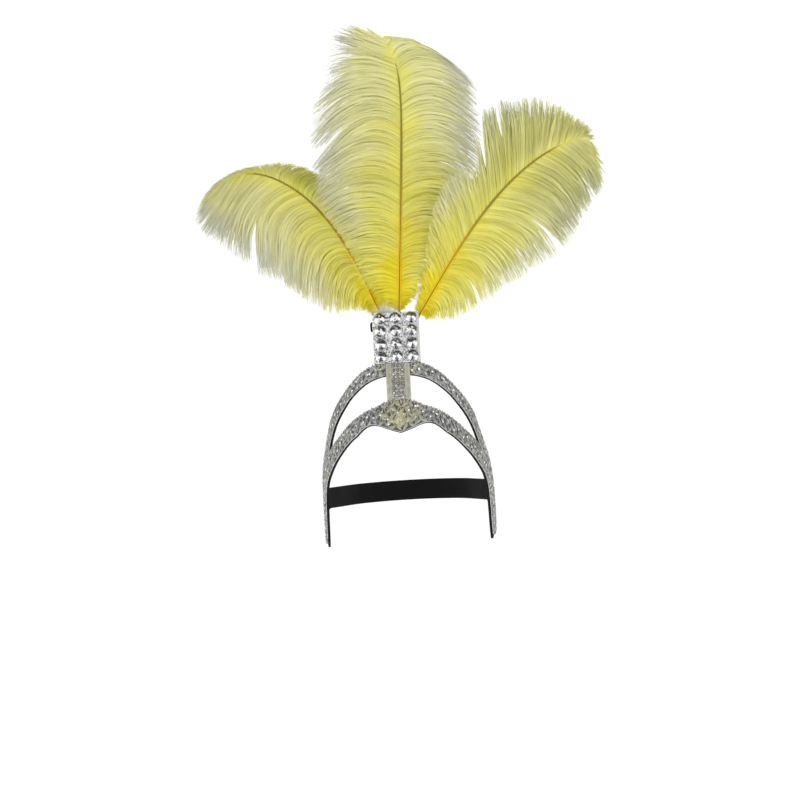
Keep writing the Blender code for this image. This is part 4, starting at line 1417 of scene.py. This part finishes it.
def make_barbules(side, rng, count, length, barbs):
    """Short hairs that leave the barbs on both sides, more of them towards the tips."""
    shares, along, lines, onward, across, reaches = barbs
    barb = rng.integers(0, len(shares), count)
    place = rng.uniform(0.12, 1.0, count) ** 0.8 * (len(along) - 1)
    index = np.minimum(place.astype(int), len(along) - 2)
    step = (place - index)[:, None]
    root = lines[barb, index] * (1 - step) + lines[barb, index + 1] * step
    way = onward[barb, index]
    out = across[barb, index] * rng.choice([-1.0, 1.0], count)[:, None]
    out = unit(out + 0.5 * rng.normal(0, 1, (count, 3)))
    tip = root + (way * 0.75 + out * 0.65) * (length * rng.uniform(0.5, 1.2, count))[:, None]
    thin = unit(np.cross(tip - root, rng.normal(0, 1, (count, 3)))) * BARBULE_HALF
    quads = np.stack([root - thin, root + thin, tip - thin * 0.3, tip + thin * 0.3], axis=1)
    mesh, _ = copies_of(grid(1, 1), count, "barbules")
    move_points(mesh, quads.reshape(-1, 3))
    outward = (along[index] + 0.5 / len(along)) * reaches[barb]
    outward = 0.5 + side * 0.5 * np.clip(outward, 0.004, 0.99)
    spot = np.stack([outward, shares[barb]], axis=-1)
    around = np.array([(-1, -1), (1, -1), (-1, 1), (1, 1)]) * 0.002
    return mesh, np.clip(spot[:, None, :] + around, 0, 1).reshape(-1, 2)


def make_vane(plume, stem, rng, finish):
    """Both sides of a vane: broad barbs, fine strands and the barbules of each."""
    size = sizes("plume")
    kinds = (
        BarbKind(size.barbs, 14, size.barb_width, 0.22, 0.32, 0.17, 0.45),
        BarbKind(size.strands, 12, size.strand_width, 1.2, 0.55, 0.08, 1.0),
    )
    meshes, maps = [], []
    for side in (-1, 1):
        for *ribbons, barbs in [make_ribbons(plume, stem, side, rng, kind) for kind in kinds]:
            hairs = make_barbules(side, rng, size.barbules // 2, size.barbule_length, barbs)
            for mesh, places in (ribbons, hairs):
                meshes.append(mesh)
                maps.append(places)
    mesh = joined(meshes, plume.name + "_vane")
    maps = np.concatenate(maps)
    add_map(mesh, VANE_MAP, maps)
    # Painted olive shade on the outer parts of the vane.
    add_painted_shade(mesh, maps, *PAINTED_SHADE_SHARES[plume.name])
    add_piece(plume.name + "_vane", mesh, finish, (plume.name,))


def make_down(rng, finish):
    """Grey down that stands above the panel round the feet of the plumes."""
    size = sizes("plume")
    count = size.down
    mesh, _ = copies_of(grid(1, 2), count, "down")
    root = np.array(DOWN_PLACE) + rng.normal(0, 1, (count, 3)) * DOWN_SPREAD
    way = unit(rng.normal(0, 1, (count, 3)) * (0.55, 0.35, 0.35) + (0.0, 0.0, 1.0))
    bend = rng.normal(0, 0.25, (count, 3))
    length = size.down_length * rng.uniform(0.4, 1.1, count)[:, None]
    middle = root + way * length * 0.5
    tip = middle + unit(way + bend) * length * 0.5
    thin = unit(np.cross(way, rng.normal(0, 1, (count, 3)))) * DOWN_HALF
    edges = [(root, 1.0), (middle, 0.9), (tip, 0.3)]
    points = [line + side * thin * share for line, share in edges for side in (-1, 1)]
    move_points(mesh, np.stack(points, axis=1).reshape(-1, 3))
    add_piece("plume_down", mesh, finish)


def make_quill(plume, stem, finish):
    """A tapering quill with a groove down its front."""
    size = sizes("plume")
    mesh = mesh_of(tube(12, 120))
    points = coordinates(mesh)
    share = points[:, 2]
    place, _, side, forward = stem.at(share)
    angle = -np.arctan2(points[:, 1], points[:, 0])
    groove = 1.0 - 0.30 * np.exp(-((angle - math.pi / 2) ** 2) / 0.12)
    width = size.quill + (size.quill_tip - size.quill) * share**1.1
    radius = (width / 2 * groove * np.where(share > 0.995, 0.2, 1.0))[:, None]
    sunk = smooth_step(share * 4) - 2.5 * smooth_step((share - 0.86) / 0.12)
    raised = place + forward * (size.thickness * 0.12 * sunk)[:, None]
    outward = side * np.cos(angle)[:, None] + forward * np.sin(angle)[:, None]
    move_points(mesh, raised + outward * radius)
    around = (angle / math.tau) % 1.0
    add_map(mesh, QUILL_MAP, np.stack([(around + 0.25) % 1.0, share], axis=-1))
    add_piece(plume.name + "_quill", mesh, finish)


# Stage


def make_floor():
    """A pale floor that sweeps up all round, well beyond the headdress."""
    stage = sizes("stage")
    bm = bmesh.new()
    flat = stage.radius - SWEEP_RISE
    profile = [(0.0, 0.0), (flat, 0.0)]
    for angle in np.linspace(0, math.pi / 2, 13)[1:]:
        profile.append((flat + SWEEP_RISE * math.sin(angle), SWEEP_RISE * (1 - math.cos(angle))))
    profile.append((stage.radius, SWEEP_TOP))
    verts = [bm.verts.new((x, 0.0, stage.floor + z)) for x, z in profile]
    edges = [bm.edges.new(pair) for pair in zip(verts, verts[1:])]
    turn = {"cent": (0, 0, 0), "axis": (0, 0, 1), "angle": math.tau, "steps": 96, "use_merge": True}
    bmesh.ops.spin(bm, geom=verts + edges, **turn)
    bmesh.ops.remove_doubles(bm, verts=bm.verts, dist=0.0001)
    bmesh.ops.recalc_face_normals(bm, faces=bm.faces)
    bmesh.ops.reverse_faces(bm, faces=bm.faces)
    mesh = mesh_of(bm, "floor")
    made, tree, shader = new_material("pale_floor")
    grain = noise(tree, object_place(tree), 3.0, 2.0)
    colour = ramp(tree, grain, ((0.3, stage.white), (0.7, brighter(stage.white, 1.02))))
    glow = {"Emission_Color": (1.0, 1.0, 0.99), "Emission_Strength": 0.66}
    set_inputs(tree, shader, Base_Color=colour, Roughness=0.9, **glow)
    mesh.materials.append(made)
    mesh.polygons.foreach_set("use_smooth", [True] * len(mesh.polygons))
    new_object("floor", mesh)


def make_light(name, place, size, power):
    lamp = bpy.data.lights.new(name, "AREA")
    lamp.shape = "SQUARE"
    lamp.size = size
    lamp.energy = power
    obj = new_object(name, lamp)
    obj.location = place
    way = Vector(LIGHT_AIM) - Vector(place)
    obj.rotation_euler = way.to_track_quat("-Z", "Y").to_euler()


def make_camera():
    stage = sizes("stage")
    turn, roll = stage.azimuth, stage.roll
    back = Vector((math.sin(turn), -math.cos(turn), 0.0))
    right = Vector((math.cos(turn), math.sin(turn), 0.0))
    up = Vector((0.0, 0.0, 1.0))
    place = up * stage.aim_height + right * stage.aim_side + back * stage.distance
    rolled_right = right * math.cos(roll) - up * math.sin(roll)
    rolled_up = up * math.cos(roll) + right * math.sin(roll)
    camera = new_object("camera", bpy.data.cameras.new("camera"))
    camera.data.lens = stage.lens
    camera.data.sensor_width = 36.0
    axes = Matrix((rolled_right, rolled_up, back)).transposed().to_4x4()
    camera.matrix_world = Matrix.Translation(place) @ axes
    bpy.context.scene.camera = camera


# Operators


class BuildStage(bpy.types.Operator):
    """Makes the floor, the soft lights and the camera"""

    bl_idname = "headdress.build_stage"
    bl_label = "Stage"

    def execute(self, context):
        make_floor()
        make_light("key_light", (-1.3, -1.9, 1.7), 1.4, 10.0)
        make_light("fill_light", (1.7, -1.6, 0.7), 1.6, 2.0)
        make_light("back_light", (0.6, 1.9, 1.5), 1.2, 4.0)
        world = bpy.data.worlds.new("soft_white")
        world.use_nodes = True
        background = world.node_tree.nodes["Background"]
        set_inputs(world.node_tree, background, Color=(1.0, 1.0, 1.0), Strength=0.12)
        context.scene.world = world
        context.scene.view_settings.view_transform = "Standard"
        make_camera()
        return {"FINISHED"}


class FinishFelt(bpy.types.Operator):
    """Gives the felt base its nap"""

    bl_idname = "headdress.finish_felt"
    bl_label = "Felt base"

    def execute(self, context):
        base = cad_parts["felt_base"]
        felt = felt_material()
        for slot in base.material_slots:
            slot.material = felt
        return {"FINISHED"}


class BuildLaces(bpy.types.Operator):
    """Lays the silver lace on the band and on both halves of the arch"""

    bl_idname = "headdress.build_laces"
    bl_label = "Lace"

    def execute(self, context):
        lace = sizes("lace")
        thread = thread_material("silver_thread", tuple(lace.silver), tuple(lace.cream))
        foil = sparkle_material("silver_foil", (0.10, 0.10, 0.11), (0.92, 0.92, 0.90), 0.45, 0.80)
        glass = sparkle_material("lace_stone", (0.08, 0.08, 0.10), (1.0, 1.0, 1.0))
        piping = thread_material("silver_piping", (0.80, 0.80, 0.78))
        finishes = (thread, net_material(), foil, glass, piping)
        rng = np.random.default_rng(5)
        tip = TIP_PLACE - BARE_RIBS
        beside = place_of_turn(turns_of(sizes("post").width / 2 + sizes("head").gap))
        make_lace("band_leaves", "band_lace", -tip, tip, 0, 1, rng, finishes)
        cream = thread_material("cream_thread", tuple(lace.cream))
        make_motif(Trim(-tip, tip, 0, 1), cream)
        make_lace("arch_leaves_left", "arch_lace_left", -tip, -beside, 2, 3, rng, finishes)
        make_lace("arch_leaves_right", "arch_lace_right", beside, tip, 2, 3, rng, finishes)
        return {"FINISHED"}


class BuildPost(bpy.types.Operator):
    """Trims the post with cream braid and small stones"""

    bl_idname = "headdress.build_post"
    bl_label = "Post"

    def execute(self, context):
        rng = np.random.default_rng(7)
        silver = sparkle_material("post_silver", (0.20, 0.19, 0.16), (0.62, 0.60, 0.52), 0.4, 0.8, 0.30)
        glass = sparkle_material("post_stone", (0.22, 0.22, 0.21), (0.96, 0.96, 0.92), 0.28, 0.56)
        ground = ribbon_material("ribbon_ground", 0.42)
        make_post(rng, ground, ribbon_material("ribbon_cord", 0.82), silver, glass)
        return {"FINISHED"}


class BuildPanel(bpy.types.Operator):
    """Makes the panel of clear mesh and round cut stones"""

    bl_idname = "headdress.build_panel"
    bl_label = "Stone panel"

    def execute(self, context):
        white = (1.0, 1.0, 1.0)
        clear = sparkle_material("glitter_mesh", (0.18, 0.18, 0.19), white, 0.34, 0.58, 0.30)
        silver = sparkle_material("silver_beads", (0.25, 0.25, 0.26), (0.95, 0.95, 0.93), 0.3, 0.7, 0.15)
        glass = sparkle_material("panel_stone", (0.03, 0.03, 0.05), white, 0.30, 0.56, 0.04)
        film = plain_material("clear_film", (0.62, 0.64, 0.62), 0.25)
        make_panel(np.random.default_rng(3), clear, silver, glass, film, felt_material())
        return {"FINISHED"}


class BuildStrap(bpy.types.Operator):
    """Makes the elastic strap"""

    bl_idname = "headdress.build_strap"
    bl_label = "Elastic strap"

    def execute(self, context):
        make_strap(elastic_material())
        return {"FINISHED"}


class BuildPlumes(bpy.types.Operator):
    """Makes the three ostrich plumes"""

    bl_idname = "headdress.build_plumes"
    bl_label = "Plumes"

    def execute(self, context):
        vane = plume_material()
        quill = quill_material()
        for plume in PLUMES:
            stem = Stem(plume)
            make_vane(plume, stem, np.random.default_rng(plume.seed), vane)
            make_quill(plume, stem, quill)
        grey = plain_material("grey_down", (0.84, 0.84, 0.76), 0.9)
        make_down(np.random.default_rng(53), grey)
        return {"FINISHED"}


OPERATORS = (BuildStage, FinishFelt, BuildLaces, BuildPost, BuildPanel, BuildStrap, BuildPlumes)


class HeaddressPanel(bpy.types.Panel):
    """Lists the steps that dress the headdress"""

    bl_idname = "VIEW3D_PT_headdress"
    bl_label = "Headdress"
    bl_space_type = "VIEW_3D"
    bl_region_type = "UI"
    bl_category = "Headdress"

    def draw(self, context):
        for step in OPERATORS:
            self.layout.operator(step.bl_idname)


def register():
    for group in SIZE_GROUPS.values():
        bpy.utils.register_class(group)
    for name, group in SIZE_GROUPS.items():
        setattr(bpy.types.Scene, "headdress_" + name, PointerProperty(type=group))
    for made in (*OPERATORS, HeaddressPanel):
        bpy.utils.register_class(made)


def unregister():
    for made in reversed((*OPERATORS, HeaddressPanel)):
        bpy.utils.unregister_class(made)
    for name in SIZE_GROUPS:
        delattr(bpy.types.Scene, "headdress_" + name)
    for group in reversed(SIZE_GROUPS.values()):
        bpy.utils.unregister_class(group)


def main():
    register()
    bpy.ops.headdress.build_stage()
    bpy.ops.headdress.finish_felt()
    bpy.ops.headdress.build_laces()
    bpy.ops.headdress.build_post()
    bpy.ops.headdress.build_panel()
    bpy.ops.headdress.build_strap()
    bpy.ops.headdress.build_plumes()
    bpy.context.view_layer.update()


if __name__ == "__main__":
    main()
